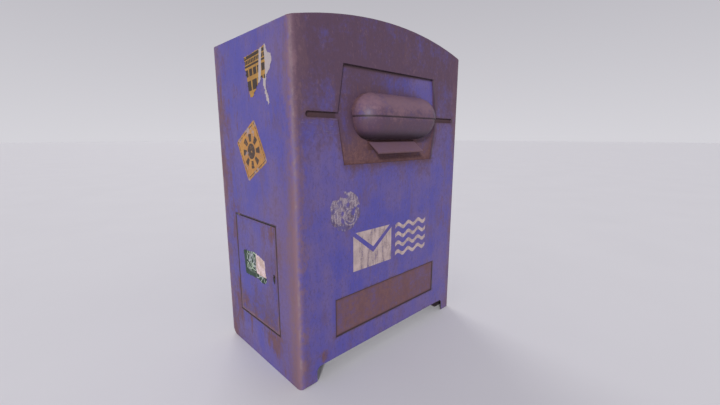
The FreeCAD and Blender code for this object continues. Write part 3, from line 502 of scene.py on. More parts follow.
# %% Finish the posting panel
def make_posting_finish():
    f = Finish("posting_panel_enamel")
    inside = 0 - hexagon_distance(f)
    edge = f.ramp(inside, 0.022, 0.002)
    # The thin line along the recess edge is partly dirt and partly painted shade.
    thin_edge_dirt_and_shade = f.ramp(inside, 0.008, 0.001)
    # The groove floors: partly dirt, partly painted shade.
    groove_floor_dirt_and_shade = f.ramp(inside, 0.002, -0.006)
    low = f.ramp(f.z, 0.90, 0.76)
    left = f.ramp(f.x, 0.02, -0.20)
    blue_patch = f.ramp(f.x, 0.04, 0.16) * f.ramp(f.z, 0.93, 1.00)
    # Dirt round the hood, partly a painted contact shadow.
    capsule_dirt_and_shade = f.ramp(hood_distance(f), 0.040, 0.0)
    drips = f.ramp(f.noise(48.0, 4.0, 0.6, stretch=(1.0, 1.0, 0.13), shift=4.0), 0.54, 0.66)
    above_hood = drips * f.ramp(f.z, 0.955, 0.985) * f.ramp(f.z, 1.03, 0.99)
    grime_and_shade = (0.56 + left * 0.18 + low * 0.34 + edge * 0.20 + thin_edge_dirt_and_shade * 0.4 + groove_floor_dirt_and_shade * 0.7
             + capsule_dirt_and_shade * 0.30 - blue_patch * 0.50)
    rust = (low * 0.74 + edge * 0.16 + groove_floor_dirt_and_shade * 0.34 + capsule_dirt_and_shade * 0.20 + above_hood * 0.42
            - blue_patch * 0.10)
    colour, roughness, height = old_enamel(f, grime_and_shade, low * 0.30 + left * 0.12, rust)
    # A painted shadow along the top edge of the recess.
    top_edge_shadow = f.ramp(panel_middle + hexagon_half_height - f.z, 0.0110, 0.0050)
    colour = f.mix((groove_floor_dirt_and_shade * 0.60) | (top_edge_shadow * 0.65), colour, (0.040, 0.020, 0.018))
    return painted(f, (colour, roughness, height), 0.0014)


def hood_distance(f):
    """Distance outside the hood's outline, measured on the panel."""
    straight = 0.124
    across = (abs(f.x) - straight) | 0.0
    up = f.z - pivot.z
    return f.math("SQRT", across * across + up * up) - 0.080


def make_rim_finish():
    f = Finish("rim_grime_and_shade")
    # The recess wall is painted nearly all dark: partly dirt, partly painted shade.
    return painted(f, old_enamel(f, 0.95, 0.05, 0.30))


posting_finish = make_posting_finish()
rim_finish = make_rim_finish()
print("posting panel and rim finished")

# %% [markdown]
# ## Hood, shutter and ledge
#
# Every hand that posts a letter polishes the hood, so its enamel is rubbed to a pinkish primer that
# shines a little on top, where more rubbed primer is partly a painted highlight, and only the
# sheltered lower face of the shutter is still blue. That lower face gets more dirt, partly painted
# shade, and the bottom is painted dark as painted shade. A dark line, part dirt and part painted
# shade, lies along the seam between the two halves. On the ledge, faces that don't look up are
# painted dark as painted shade.

# %% Finish the hood and ledge
def make_hood_finish():
    f = Finish("hood_rubbed_enamel")
    up = f.z - pivot.z
    # The seam: a dark line, part dirt and part painted shade.
    seam_grime_and_shade = f.band(up, 0.0, 0.0012, 0.0035)
    # The bottom of the shutter, painted dark as painted shade.
    bottom_shade = f.ramp(up, -0.038, -0.076)
    # More rubbed primer on top, partly a painted highlight.
    upper = f.ramp(up, 0.0, 0.05)
    # The lower face: more dirt and less wear, partly painted shade.
    under_dirt_and_shade = f.ramp(up, 0.0, -0.030)
    right_low = f.ramp(f.x, -0.10, 0.08) * f.ramp(up, 0.0, -0.03)
    at_panel = f.ramp(f.y, front_y - 0.016, front_y)
    colour, roughness, height = old_enamel(
        f, 0.92 + seam_grime_and_shade * 0.6 + under_dirt_and_shade * 0.20 + at_panel * 0.5 - right_low * 0.16,
        0.46 + upper * 0.36 - under_dirt_and_shade * 0.34 - right_low * 0.12 - at_panel * 0.4,
        0.32 + at_panel * 0.30, 0.36)
    # Paint the bottom and the seam dark: painted shade, with dirt on the seam.
    colour = f.mix((bottom_shade * 0.92) | (seam_grime_and_shade * 0.6), colour, (0.014, 0.008, 0.012))
    outside = outward(f, Vector((0.0, front_y + 0.03, pivot.z)))
    colour = f.mix(outside, (0.060, 0.036, 0.040), colour)
    return painted(f, (colour, roughness, height), 0.0008)


def make_ledge_finish():
    f = Finish("ledge_rubbed_enamel")
    front_edge = f.ramp(f.y, ledge_low.y + 0.006, ledge_low.y + 0.001)
    root = f.ramp(f.z, ledge_high.z - 0.014, ledge_high.z)
    end = f.ramp(abs(f.x), 0.119, 0.125)
    flange = f.ramp(f.y, front_y - 0.001, front_y + 0.003)
    layers = old_enamel(f, 0.72 + root * 0.5 + flange * 0.4,
                        0.95 + front_edge * 0.30 + end * 0.25 - flange * 1.2,
                        0.16 + flange * 0.55 + root * 0.25 + front_edge * 0.20, 0.44)
    colour, roughness, height = layers
    _, _, facing_z = f.split(f.facing)
    # Faces that don't look up are painted dark as painted shade.
    not_top_shade = f.ramp(facing_z, 0.45, 0.10)
    colour = f.mix(not_top_shade * 0.62, colour, (0.072, 0.030, 0.028))
    return painted(f, (colour, roughness, height), 0.0008)


hood_finish = make_hood_finish()
ledge_finish = make_ledge_finish()
print("hood, shutter and ledge finished")

# %% [markdown]
# ## Notice panel
#
# This plate once carried the collection times. It has been scraped and rusted all over to a dull
# reddish brown, with a darker line where it meets the shell, partly dirt and partly painted shade of
# the shallow recess.

# %% Finish the notice panel
def make_notice_finish():
    f = Finish("notice_plate_rust")
    inside = 0 - rectangle_distance(f.x, f.z, notice_open_low, notice_open_high)
    edge = f.ramp(inside, 0.016, 0.001)
    mottle = f.noise(6.0, 6.0, 0.65, shift=8.0)
    scraped = f.noise(60.0, 4.0, 0.6, stretch=(0.6, 1.0, 1.0), shift=3.0)
    streaks = f.noise(42.0, 4.0, 0.6, stretch=(1.0, 1.0, 0.22), shift=7.0)
    layers = old_enamel(f, 0.62 + edge * 0.60 - f.ramp(mottle, 0.56, 0.70) * 0.25,
                        0.42 + (scraped - 0.5) * 0.5 - edge * 0.4,
                        0.66 + edge * 0.10 + (mottle - 0.5) * 0.9, 0.56)
    colour, roughness, height = layers
    colour = f.mix(0.35, colour, (0.150, 0.076, 0.090))
    colour = f.mix(f.ramp(streaks, 0.50, 0.64) * 0.35, colour, (0.105, 0.055, 0.075))
    # A dark line at the plate's border, partly dirt and partly painted shade of the recess.
    frame_dirt_and_shade_line = f.ramp(inside, 0.0080, 0.0030)
    colour = f.mix(frame_dirt_and_shade_line * 0.80, colour, (0.030, 0.018, 0.022))
    return painted(f, (colour, roughness, height), 0.0014, 0.7)


notice_finish = make_notice_finish()
print("notice panel finished")

# %% [markdown]
# ## Collection door
#
# The door is enamelled like the side around it, but its lower third has rusted, long red runs hang
# from its upper edge on the lock side, and its rubbed border shows primer. A painted dark line of
# shade runs along its border at the gap, and a painted dark ring of shade lies round the keyhole.

# %% Finish the door
def make_door_finish():
    f = Finish("door_enamel")
    inside = 0 - rectangle_distance(f.y, f.z, door_open_low, door_open_high)
    edge = f.ramp(inside, 0.020, 0.003)
    low = f.ramp(f.z, 0.30, 0.17)
    smears = f.noise(26.0, 5.0, 0.66, stretch=(1.0, 1.0, 0.26), shift=12.0)
    lock_side = f.ramp(f.y, 0.03, -0.08)
    top_runs = f.ramp(smears, 0.42, 0.54) * f.ramp(f.z, 0.40, 0.50) * (0.22 + lock_side * 0.78)
    low_runs = f.ramp(smears, 0.40, 0.54) * low * (0.62 + f.ramp(f.y, 0.0, 0.09) * 0.45)
    frame_rust = f.ramp(inside, 0.007, 0.002) * f.ramp(smears, 0.40, 0.55)
    from_hole = f.y + 0.113
    above_hole = (f.z - 0.350) * 0.40
    keyhole = f.math("SQRT", from_hole * from_hole + above_hole * above_hole)
    hand_wear = f.ramp(keyhole, 0.050, 0.014)
    layers = old_enamel(f, 0.24 + edge * 0.30 + low * 0.40 + hand_wear * 0.3,
                        edge * 0.36 + low * 0.36 + hand_wear * 0.22 + 0.08,
                        0.08 + top_runs * 0.66 + low_runs * 0.66 + frame_rust * 0.6 + hand_wear * 0.12)
    colour, roughness, height = layers
    # A painted dark ring of shade round the keyhole, so it reads black.
    keyhole_shade_ring = f.ramp(keyhole, 0.0078, 0.0058)
    colour = f.mix(keyhole_shade_ring, colour, (0.014, 0.010, 0.012))
    # A painted dark line of shade along the door's border at the gap.
    seam_grime_and_shade = f.ramp(inside, 0.0055, 0.0040)
    colour = f.mix(seam_grime_and_shade * 0.55, colour, (0.030, 0.018, 0.020))
    face_in = f.ramp(f.x, door_low.x + 0.0012, door_low.x + 0.0018)
    dusty = f.mix(f.ramp(f.noise(22.0, 6.0, 0.65, shift=4.0), 0.42, 0.62),
                  (0.095, 0.082, 0.085), (0.165, 0.140, 0.130))
    colour = f.mix(face_in, colour, dusty)
    return painted(f, (colour, roughness, height))


door_finish = make_door_finish()
print("door finished")

# %% [markdown]
# ## Bare and plated metals
#
# Inside, the sheets are galvanised: grey with the large faint crystals that zinc forms as it
# freezes. Screws are zinc plated, pins and the bolt are bright steel, bearings are brass.

# %% Finish the metals, rubber and nylon
def make_galvanised():
    f = Finish("galvanised")
    crystals = f.cells(70.0)
    patch = f.noise(9.0, 5.0)
    fine = f.noise(190.0, 3.0, shift=4.0)
    colour = f.mix(f.ramp(crystals, 0.1, 0.75), (0.36, 0.37, 0.38), (0.52, 0.53, 0.55))
    dust = f.ramp(patch, 0.52, 0.72)
    colour = f.mix(dust * 0.55, colour, (0.20, 0.15, 0.13))
    return f.surface(Base_Color=colour, Metallic=0.85 - dust * 0.55,
                     Roughness=0.42 + dust * 0.25 + fine * 0.12, Normal=f.bump(fine, 0.0004, 0.4))


def make_metal(name, tone, dark, roughness, scale):
    """Plain metal with handling marks and tarnish."""
    f = Finish(name)
    patch = f.noise(scale, 5.0, 0.6)
    fine = f.noise(scale * 9, 3.0, shift=2.0)
    tarnish = f.ramp(patch, 0.50, 0.72)
    return f.surface(Base_Color=f.mix(tarnish, tone, dark), Metallic=1.0 - tarnish * 0.5,
                     Roughness=roughness + tarnish * 0.25 + fine * 0.10,
                     Normal=f.bump(fine, 0.0002, 0.5))


def make_soft(name, tone, dust_tone, roughness):
    """Rubber or nylon with settled dust."""
    f = Finish(name)
    patch = f.noise(24.0, 5.0)
    fine = f.noise(400.0, 2.0, shift=1.0)
    return f.surface(Base_Color=f.mix(f.ramp(patch, 0.5, 0.8) * 0.5, tone, dust_tone),
                     Roughness=roughness + fine * 0.1, Normal=f.bump(fine, 0.0002, 0.5))


galvanised = make_galvanised()
zinc = make_metal("zinc_plate", (0.50, 0.49, 0.46), (0.16, 0.08, 0.05), 0.35, 60.0)
bright_steel = make_metal("bright_steel", (0.58, 0.58, 0.59), (0.22, 0.16, 0.12), 0.25, 40.0)
brass = make_metal("brass", (0.62, 0.43, 0.16), (0.20, 0.12, 0.06), 0.30, 50.0)
# The lock hub and lock case are kept very dark: partly their own tone, partly painted shade inside the
# keyhole.
old_brass_keyhole_shade = make_metal("old_brass_keyhole_shade", (0.10, 0.07, 0.03), (0.03, 0.02, 0.015), 0.55, 50.0)
oiled_steel_keyhole_shade = make_metal("oiled_steel_keyhole_shade", (0.050, 0.046, 0.045), (0.025, 0.016, 0.014), 0.50, 45.0)
nylon = make_soft("nylon", (0.62, 0.58, 0.48), (0.25, 0.20, 0.16), 0.45)
# The foot rails under the box are painted near black: partly soot, partly painted shade.
sooty_primer_and_shade = make_soft("sooty_primer_and_shade", (0.050, 0.036, 0.046), (0.100, 0.070, 0.078), 0.70)
rubber = make_soft("rubber", (0.020, 0.020, 0.022), (0.12, 0.10, 0.09), 0.65)


def coat(material, *nodes):
    """Give carried-over nodes a material."""
    for name in nodes:
        mesh = frame["nodes"][name].data
        mesh.materials.clear()
        mesh.materials.append(material)


coat(shell_finish, "body_shell", "back_cover")
coat(posting_finish, "posting_panel")
coat(rim_finish, "panel_rim")
coat(hood_finish, "hood", "posting_shutter")
coat(ledge_finish, "letter_ledge")
coat(notice_finish, "notice_panel")
coat(door_finish, "door_leaf")
coat(sooty_primer_and_shade, "foot_rail_right", "foot_rail_left")
coat(galvanised, "floor_plate", "roof_rib", "shutter_arms",
     "pivot_brackets", "letter_chute", "baffle", "sloping_floor", "slope_trestles", "door_frame",
     "door_lip")
coat(oiled_steel_keyhole_shade, "lock_case")
coat(zinc, "back_screws", "floor_screws", "panel_studs", "notice_studs", "rod_clips", "lock_screws")
coat(bright_steel, "pivot_rod", "strike_plate", "pivot_pin_bottom", "pivot_pin_top", "lock_bolt")
coat(brass, "pivot_block_bottom", "pivot_block_top")
coat(old_brass_keyhole_shade, "lock_hub")
coat(nylon, "shutter_bushes")
coat(rubber, "stop_buffers", "door_seal")

# %% [markdown]
# ## Thin films on the walls
#
# Stickers and bills are films a third of a millimetre thick, and paint is thinner still. A film
# starts as a flat grid, the faces outside its outline are deleted, the torn border is smoothed a
# little and lifted off the wall, and Solidify gives it thickness. Only then is it turned upright onto
# its wall, so its own shape is worked out in two plain coordinates: along the wall and up. The noise
# that tears an edge draws its offsets from a seed, which is fixed so that each run tears it alike.

# %% Make films
film_thickness = 0.00035
film_gap = 0.00005
wall_turns = {"front": (math.pi / 2, 0.0, 0.0), "side": (math.pi / 2, 0.0, -math.pi / 2)}


def along_wall(wall, place):
    """A point on a wall, given as (across, up) in the object's frame, as a 3-D place."""
    if wall == "front":
        return Vector((place[0], front_y - film_gap, place[1]))
    return Vector((side_x - film_gap, place[0], place[1]))


def inside_outline(outline, a, b):
    """Even-odd test of a point against a closed outline."""
    inside = False
    for (a0, b0), (a1, b1) in zip(outline, outline[1:] + outline[:1]):
        if (b0 > b) != (b1 > b) and a < a0 + (b - b0) / (b1 - b0) * (a1 - a0):
            inside = not inside
    return inside


tear_seed = 7
tear_slice = 900
noise.seed_set(tear_seed)


def torn(outline, depth, scale):
    """Test for an outline whose border is torn to a depth in metres."""
    def test(a, b):
        shift = noise.noise_vector(Vector((a * scale, b * scale, depth * tear_slice)))
        return inside_outline(outline, a + shift.x * depth, b + shift.y * depth)
    return test


def finish_piece(piece, name, material, body, smooth_angle=40.0):
    """Name a finished piece, give it its material and the body that carries it."""
    piece.name = name
    piece.data.materials.clear()
    piece.data.materials.append(material)
    bpy.ops.object.select_all(action="DESELECT")
    piece.select_set(True)
    bpy.context.view_layer.objects.active = piece
    bpy.ops.object.transform_apply(location=True, rotation=True, scale=True)
    bpy.ops.object.shade_smooth_by_angle(angle=math.radians(smooth_angle))
    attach(piece, body)
    print(name, "has", len(piece.data.polygons), "faces and rides", body)
    return piece


def thicken(piece, thickness):
    wall = piece.modifiers.new("thickness", "SOLIDIFY")
    wall.thickness = thickness
    wall.offset = 1.0
    bpy.ops.object.modifier_apply(modifier=wall.name)


def add_film(name, wall, low, high, cell, keep, material, body, lift=0.0, relax=2):
    """A film on a wall; keep(across, up) says which of its cells are still there."""
    width = high[0] - low[0]
    height = high[1] - low[1]
    centre = ((low[0] + high[0]) / 2, (low[1] + high[1]) / 2)
    bpy.ops.object.select_all(action="DESELECT")
    bpy.ops.mesh.primitive_grid_add(x_subdivisions=round(width / cell),
                                    y_subdivisions=round(height / cell), size=1.0)
    piece = bpy.context.object
    piece.scale = (width, height, 1.0)
    bpy.ops.object.transform_apply(scale=True)
    across_sign = 1.0 if wall == "front" else -1.0

    def on_wall(point):
        return centre[0] + across_sign * point.x, centre[1] + point.y

    bpy.ops.object.mode_set(mode="EDIT")
    bpy.ops.mesh.select_mode(type="FACE")
    bpy.ops.mesh.select_all(action="DESELECT")
    bpy.ops.object.mode_set(mode="OBJECT")
    for face in piece.data.polygons:
        face.select = not keep(*on_wall(face.center))
    bpy.ops.object.mode_set(mode="EDIT")
    bpy.ops.mesh.delete(type="FACE")
    if relax:
        bpy.ops.mesh.select_all(action="SELECT")
        bpy.ops.mesh.region_to_loop()
        bpy.ops.mesh.vertices_smooth(factor=0.5, repeat=relax)
    bpy.ops.object.mode_set(mode="OBJECT")
    if lift:
        four_ways = ((0.006, 0.0), (-0.006, 0.0), (0.0, 0.006), (0.0, -0.006))
        for vertex in piece.data.vertices:
            a, b = on_wall(vertex.co)
            wave = noise.noise(Vector((a * 45.0, b * 45.0, 3.0)))
            border = sum(not keep(a + da, b + db) for da, db in four_ways)
            vertex.co.z = lift * (max(wave, 0.0) + border * abs(wave)) / 2
    thicken(piece, film_thickness)
    piece.rotation_euler = wall_turns[wall]
    piece.location = along_wall(wall, centre)
    return finish_piece(piece, name, material, body)


def add_paint(name, corners, material, thickness=0.00025):
    """A flat patch of paint on the front, from its outline corners (across, up)."""
    bpy.ops.object.select_all(action="DESELECT")
    bpy.ops.mesh.primitive_circle_add(vertices=len(corners), fill_type="NGON")
    piece = bpy.context.object
    middle = (sum(a for a, _ in corners) / len(corners), sum(b for _, b in corners) / len(corners))
    for vertex, (a, b) in zip(piece.data.vertices, corners):
        vertex.co = (a - middle[0], b - middle[1], 0.0)
    bpy.ops.object.mode_set(mode="EDIT")
    bpy.ops.mesh.select_all(action="SELECT")
    bpy.ops.mesh.normals_make_consistent(inside=False)
    bpy.ops.mesh.quads_convert_to_tris(quad_method="BEAUTY", ngon_method="BEAUTY")
    bpy.ops.object.mode_set(mode="OBJECT")
    if piece.data.polygons[0].normal.z < 0:
        piece.data.flip_normals()
    thicken(piece, thickness)
    piece.rotation_euler = wall_turns["front"]
    piece.location = along_wall("front", middle)
    finish_piece(piece, name, material, "root")
    return piece


print("film helpers ready, films are", film_thickness * 1000, "mm thick")

# %% [markdown]
# ## A weathered square sticker
#
# A yellow vinyl square with a thin black border hangs askew on the side. Its face carries a plain
# sun sign, drawn by the shader in the sticker's own turned coordinates: a disc, and eight rays that
# repeat round the angle. Corners and folds have lost their print and show white.

# %% Stick on the square sticker
sticker_centre = (0.000, 0.7765)
sticker_side = 0.157
sticker_turn = -29.0
sticker_rounding = 0.010
sun_rays = 8


def sticker_uv(a, b):
    return turned(a, b, sticker_centre, sticker_turn)


def in_sticker(a, b):
    u, v = sticker_uv(a, b)
    over_u = max(abs(u) - sticker_side / 2 + sticker_rounding, 0.0)
    over_v = max(abs(v) - sticker_side / 2 + sticker_rounding, 0.0)
    nicked = noise.noise(Vector((a * 60.0, b * 60.0, 8.0))) * 0.003
    return math.hypot(over_u, over_v) < sticker_rounding - max(nicked, 0.0)


def make_sticker_finish():
    f = Finish("sun_sticker_vinyl")
    u, v = sticker_uv(f.y, f.z)
    edge = (abs(u) | abs(v)) - sticker_side / 2
    border = f.band(edge, -0.0095, 0.0012, 0.0008)
    radius = f.math("SQRT", u * u + v * v)
    angle = f.math("ARCTAN2", v, u)
    turn = f.math("FRACT", angle * (sun_rays / (2 * math.pi)) + sun_rays / 2)
    disc = f.ramp(radius, 0.0270, 0.0255)
    rays = f.band(radius, 0.0455, 0.0120, 0.0015) * f.ramp(abs(turn - 0.5), 0.27, 0.23)
    patch = f.noise(26.0, 6.0, 0.65, shift=6.0)
    fine = f.noise(160.0, 4.0, 0.6, shift=2.0)
    ink = (border | disc | rays) * f.ramp(patch + (fine - 0.5) * 0.4, 0.33, 0.44)
    yellow = f.mix(f.ramp(patch, 0.35, 0.65), (0.430, 0.205, 0.040), (0.330, 0.150, 0.040))
    colour = f.mix(ink * 0.92, yellow, (0.022, 0.015, 0.018))
    upper = f.ramp(v, 0.020, 0.070)
    low_end = f.ramp(v, -0.058, -0.078)
    peeled = f.ramp(patch + (fine - 0.5) * 0.35 + upper * 0.10 + low_end * 0.10, 0.60, 0.66)
    colour = f.mix(peeled * 0.9, colour, (0.330, 0.250, 0.250))
    dirt = f.ramp(fine + f.ramp(edge, -0.012, 0.0) * 0.22, 0.56, 0.80)
    colour = f.mix(dirt * 0.45, colour, (0.075, 0.045, 0.045))
    f.shader.inputs["Specular IOR Level"].default_value = 0.35
    return f.surface(Base_Color=colour, Roughness=0.42 + peeled * 0.3 + dirt * 0.2,
                     Normal=f.bump(patch + fine * 0.4 - peeled * 0.5, 0.0006, 0.5))


half_diagonal = sticker_side * 0.71    # a little over the half of a square's diagonal
add_film("square_sticker", "side",
         (sticker_centre[0] - half_diagonal, sticker_centre[1] - half_diagonal),
         (sticker_centre[0] + half_diagonal, sticker_centre[1] + half_diagonal),
         cell=0.0022, keep=in_sticker, material=make_sticker_finish(), body="root",
         lift=0.0006, relax=3)

# %% [markdown]
# ## A torn paper bill
#
# The bill was pasted high on the side and ripped away downwards, which left a ragged yellow half
# with black printed bars, a white torn strip where the paper split, and a thin tongue of paper that
# hangs below. Paper is a coarser grid than vinyl, so its border looks ripped rather than cut.

# %% Paste up the torn bill
bill_outline = [(0.016, 1.078), (-0.060, 1.087), (-0.090, 1.090), (-0.106, 1.094), (-0.124, 1.098),
                (-0.130, 1.076), (-0.156, 1.066), (-0.158, 1.045), (-0.144, 1.022), (-0.128, 1.012),
                (-0.117, 0.985), (-0.137, 0.930), (-0.131, 0.920), (-0.111, 0.955), (-0.103, 0.998),
                (-0.094, 1.004), (-0.070, 0.985), (-0.030, 0.950), (-0.018, 0.950), (-0.006, 0.975),
                (0.002, 1.010)]
bill_tilt = -5.7


def make_bill_finish():
    f = Finish("torn_bill_paper")
    u, v = turned(f.y, f.z, bill_outline[0], bill_tilt)
    down = 0 - v
    across = 0 - u
    patch = f.noise(38.0, 6.0, 0.65, shift=5.0)
    fine = f.noise(210.0, 4.0, 0.6, shift=1.0)
    column = f.math("FRACT", across / 0.027 + 0.12)
    blocks = f.ramp(abs(column - 0.5), 0.40, 0.36)
    narrow_column = f.math("FRACT", across / 0.011)
    narrow = f.ramp(abs(narrow_column - 0.5), 0.42, 0.34)
    header = f.band(down, 0.006, 0.0045, 0.001)
    caption = f.band(down, 0.020, 0.0055, 0.001) * narrow
    rule = f.band(down, 0.0325, 0.0028, 0.0008)
    first_row = f.band(down, 0.054, 0.0105, 0.001) * blocks
    wide_column = f.math("FRACT", across / 0.038)
    wide = f.ramp(abs(wide_column - 0.5), 0.42, 0.38)
    second_row = f.band(down, 0.094, 0.0150, 0.001) * wide
    ink = (header | caption | rule | first_row | second_row) * f.ramp(patch, 0.30, 0.42)
    yellow = f.mix(f.ramp(patch, 0.35, 0.65), (0.370, 0.200, 0.040), (0.270, 0.140, 0.040))
    colour = f.mix(ink * 0.93, yellow, (0.020, 0.016, 0.018))
    split = f.band(f.y + (f.z - bill_outline[0][1]) * 0.14, -0.092, 0.006, 0.004)
    front_part = f.ramp(f.y, -0.108, -0.122)
    tongue = f.ramp(f.z, 1.006, 0.996) * f.ramp(f.y, -0.090, -0.100)
    torn_part = split | (front_part * 0.72) | tongue
    bare = f.ramp(torn_part + (patch - 0.5) * 0.9 + (fine - 0.5) * 0.4, 0.45, 0.60)
    colour = f.mix(bare, colour, f.mix(fine, (0.300, 0.250, 0.265), (0.430, 0.380, 0.380)))
    dirt = f.ramp(fine, 0.58, 0.80) * 0.5
    colour = f.mix(dirt, colour, (0.085, 0.055, 0.060))
    return f.surface(Base_Color=colour, Roughness=0.80, Normal=f.bump(patch + fine * 0.6, 0.0010, 0.7))


add_film("torn_bill", "side", (-0.158, 0.918), (0.022, 1.098),
         cell=0.0030, keep=torn(bill_outline, depth=0.0045, scale=130.0),
         material=make_bill_finish(), body="root", lift=0.0014, relax=1)

# %% [markdown]
# ## A scrawled sticker on the door
#
# A dark green label scrawled over in pale ink, whose lock-side third has been picked off down to its
# white backing. It rides on the door, so it swings open with it.

# %% Stick on the door label
label_outline = [(0.109, 0.405), (0.060, 0.410), (0.020, 0.414), (-0.020, 0.406), (-0.051, 0.398),
                 (-0.056, 0.360), (-0.061, 0.323), (-0.046, 0.308), (-0.020, 0.311), (-0.005, 0.318),
                 (0.050, 0.314), (0.097, 0.312), (0.103, 0.360)]


def make_label_finish():
    f = Finish("scrawled_label")
    patch = f.noise(30.0, 6.0, 0.65, shift=4.0)
    fine = f.noise(190.0, 4.0, 0.6, shift=2.0)
    wander = f.noise(26.0, 1.0, 0.5, shift=15.0)
    other = f.noise(34.0, 1.0, 0.5, shift=25.0)
    scrawl = (f.band(wander, 0.470, 0.016, 0.010) | f.band(other, 0.520, 0.018, 0.010)
              | f.band(wander, 0.590, 0.016, 0.010))
    scrawl = scrawl * (f.ramp(f.y, 0.088, 0.078) * f.ramp(f.z, 0.328, 0.345) | f.ramp(f.y, 0.020, 0.004))
    green = f.mix(f.ramp(patch, 0.4, 0.6), (0.012, 0.030, 0.018), (0.020, 0.046, 0.028))
    pale_ink = f.mix(f.ramp(patch, 0.45, 0.55), (0.340, 0.420, 0.310), (0.360, 0.370, 0.420))
    colour = f.mix(scrawl * 0.92, green, pale_ink)
    picked_part = f.ramp(f.y, 0.020, 0.002) * f.ramp(f.z, 0.328, 0.345)
    picked = f.ramp(picked_part + (patch - 0.5) * 0.8, 0.42, 0.54)
    backing = f.mix(f.ramp(patch, 0.42, 0.60), (0.640, 0.500, 0.510), (0.460, 0.340, 0.290))
    colour = f.mix(picked, colour, f.mix(f.ramp(fine, 0.40, 0.62) * 0.35, backing, (0.340, 0.250, 0.260)))
    colour = f.mix(f.ramp(fine, 0.58, 0.80) * 0.45, colour, (0.080, 0.050, 0.055))
    f.shader.inputs["Specular IOR Level"].default_value = 0.35
    return f.surface(Base_Color=colour, Roughness=0.50 + picked * 0.3,
                     Normal=f.bump(patch + fine * 0.5 - picked * 0.5, 0.0008, 0.6))


add_film("door_label", "side", (-0.066, 0.304), (0.113, 0.418),
         cell=0.0028, keep=torn(label_outline, depth=0.0030, scale=150.0),
         material=make_label_finish(), body="side_door", lift=0.0008, relax=2)

# %% [markdown]
# ## The ghost of a round decal
#
# Only scraps are left of a round decal on the front: a hazy, scratched film of old glue. The scraps
# are real pieces of film, and their whitish haze is broken up by curved scratches round the centre.

# %% Leave the scraps of the round decal
decal_centre = (-0.236, 0.578)
decal_radius = 0.070


def in_decal(a, b):
    u = a - decal_centre[0]
    v = b - decal_centre[1]
    radius = math.hypot(u, v)
    ragged = noise.noise(Vector((a * 28.0, b * 28.0, 5.0))) * 0.022
    holes = noise.noise(Vector((a * 42.0, b * 42.0, 12.0)))
    return radius < decal_radius - max(ragged, 0.0) and holes > -0.30


def make_decal_finish():
    f = Finish("old_decal_glue")
    u = f.x - decal_centre[0]
    v = f.z - decal_centre[1]
    patch = f.noise(34.0, 6.0, 0.7, shift=3.0)
    fine = f.noise(220.0, 4.0, 0.6, shift=8.0)
    sweep = f.noise(150.0, 3.0, 0.6, stretch=(1.0, 1.0, 0.30), shift=4.0)
    left_u = u + 0.026
    left_v = v + 0.012
    left_disc = f.ramp(f.math("SQRT", left_u * left_u + left_v * left_v), 0.030, 0.026)
    right_u = u - 0.022
    right_v = v + 0.020
    right_radius = f.math("SQRT", right_u * right_u + right_v * right_v)
    rings = f.band(right_radius, 0.030, 0.0012, 0.002) | f.band(right_radius, 0.019, 0.0010, 0.002)
    upper = f.ramp(v, 0.0, 0.030)
    haze = f.ramp(patch * 0.50 + sweep * 0.30 + fine * 0.20 + upper * 0.07 + left_disc * 0.09
                  + rings * 0.16, 0.46, 0.60)
    glue = f.mix(f.ramp(fine * 0.5 + sweep * 0.5, 0.40, 0.62),
                 (0.165, 0.120, 0.175), (0.360, 0.300, 0.330))
    dull = f.mix(f.ramp(patch, 0.4, 0.6), (0.090, 0.070, 0.200), (0.070, 0.042, 0.085))
    colour = f.mix(haze * 0.85, dull, glue)
    f.shader.inputs["Specular IOR Level"].default_value = 0.40
    return f.surface(Base_Color=colour, Roughness=0.38 + haze * 0.3,
                     Normal=f.bump(haze + fine * 0.4, 0.0006, 0.6))


decal_reach = decal_radius + 0.004
add_film("round_decal", "front",
         (decal_centre[0] - decal_reach, decal_centre[1] - decal_reach),
         (decal_centre[0] + decal_reach, decal_centre[1] + decal_reach),
         cell=0.0025, keep=in_decal, material=make_decal_finish(), body="root",
         lift=0.0004, relax=2)

# %% [markdown]
# ## The painted mark
#
# The front carries a stencilled mark in off-white paint. Here it is a plain envelope followed by four
# postmark waves. Each patch starts as a filled circle whose corners are moved to the outline, and is
# given the thickness of a coat of paint. The paint has worn thin in upright streaks.

# %% Paint the envelope and the waves
mark_low = (-0.202, 0.353)
mark_high = (0.216, 0.494)
envelope_width = 0.200
flap_drop = 0.078
fold_gap = 0.011


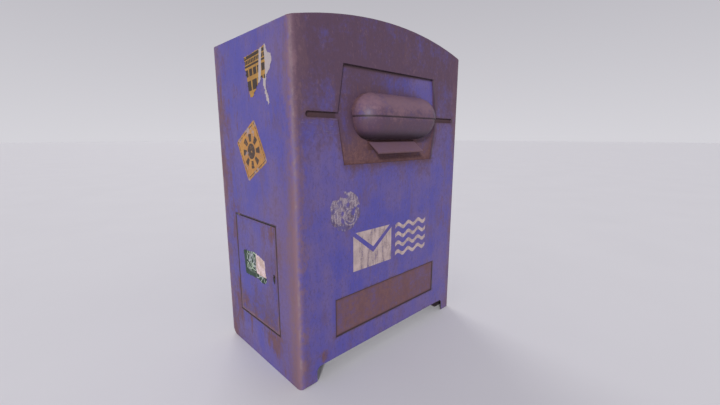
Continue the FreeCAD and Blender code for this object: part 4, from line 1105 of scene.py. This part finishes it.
def make_mark_finish():
    f = Finish("worn_white_mark")
    runs = f.noise(60.0, 5.0, 0.65, stretch=(1.0, 1.0, 0.16), shift=6.0)
    patch = f.noise(28.0, 6.0, 0.65, shift=9.0)
    fine = f.noise(200.0, 4.0, 0.6, shift=3.0)
    cream = f.mix(f.ramp(patch, 0.35, 0.65), (0.450, 0.350, 0.335), (0.340, 0.265, 0.262))
    grey = f.ramp(runs + (fine - 0.5) * 0.4, 0.48, 0.66)
    colour = f.mix(grey * 0.55, cream, (0.120, 0.088, 0.105))
    thin = f.ramp(runs * 0.5 + patch * 0.3 + fine * 0.3, 0.615, 0.680)
    colour = f.mix(thin * 0.85, colour, faded_blue)
    f.shader.inputs["Specular IOR Level"].default_value = 0.32
    return f.surface(Base_Color=colour, Roughness=0.58, Normal=f.bump(fine * 0.5 - thin, 0.0004, 0.5))


mark_finish = make_mark_finish()
envelope_right = mark_low[0] + envelope_width
envelope_middle = mark_low[0] + envelope_width / 2
add_paint("mark_envelope_flap",
          [(mark_low[0] + fold_gap, mark_high[1]), (envelope_middle, mark_high[1] - flap_drop + fold_gap),
           (envelope_right - fold_gap, mark_high[1])], mark_finish)
add_paint("mark_envelope_body",
          [(mark_low[0], mark_high[1] - fold_gap), (mark_low[0], mark_low[1]),
           (envelope_right, mark_low[1]), (envelope_right, mark_high[1] - fold_gap),
           (envelope_middle, mark_high[1] - flap_drop - fold_gap)], mark_finish)

wave_count = 4
wave_steps = 36
wave_height = 0.0075
wave_length = 0.064
wave_band = 0.0150
wave_start = envelope_right + 0.024


def wave_outline(level):
    """Closed outline of one wavy band at a level."""
    length = mark_high[0] - wave_start
    steps = [length * step / wave_steps for step in range(wave_steps + 1)]
    middle = [(wave_start + along, level + wave_height * math.sin(2 * math.pi * along / wave_length))
              for along in steps]
    upper = [(a, b + wave_band / 2) for a, b in middle]
    lower = [(a, b - wave_band / 2) for a, b in middle]
    return upper + lower[::-1]


level_low = mark_low[1] + wave_height + wave_band / 2
level_high = mark_high[1] - wave_height - wave_band / 2
for count in range(wave_count):
    level = level_low + (level_high - level_low) * count / (wave_count - 1)
    add_paint("mark_wave_" + str(count + 1), wave_outline(level), mark_finish)
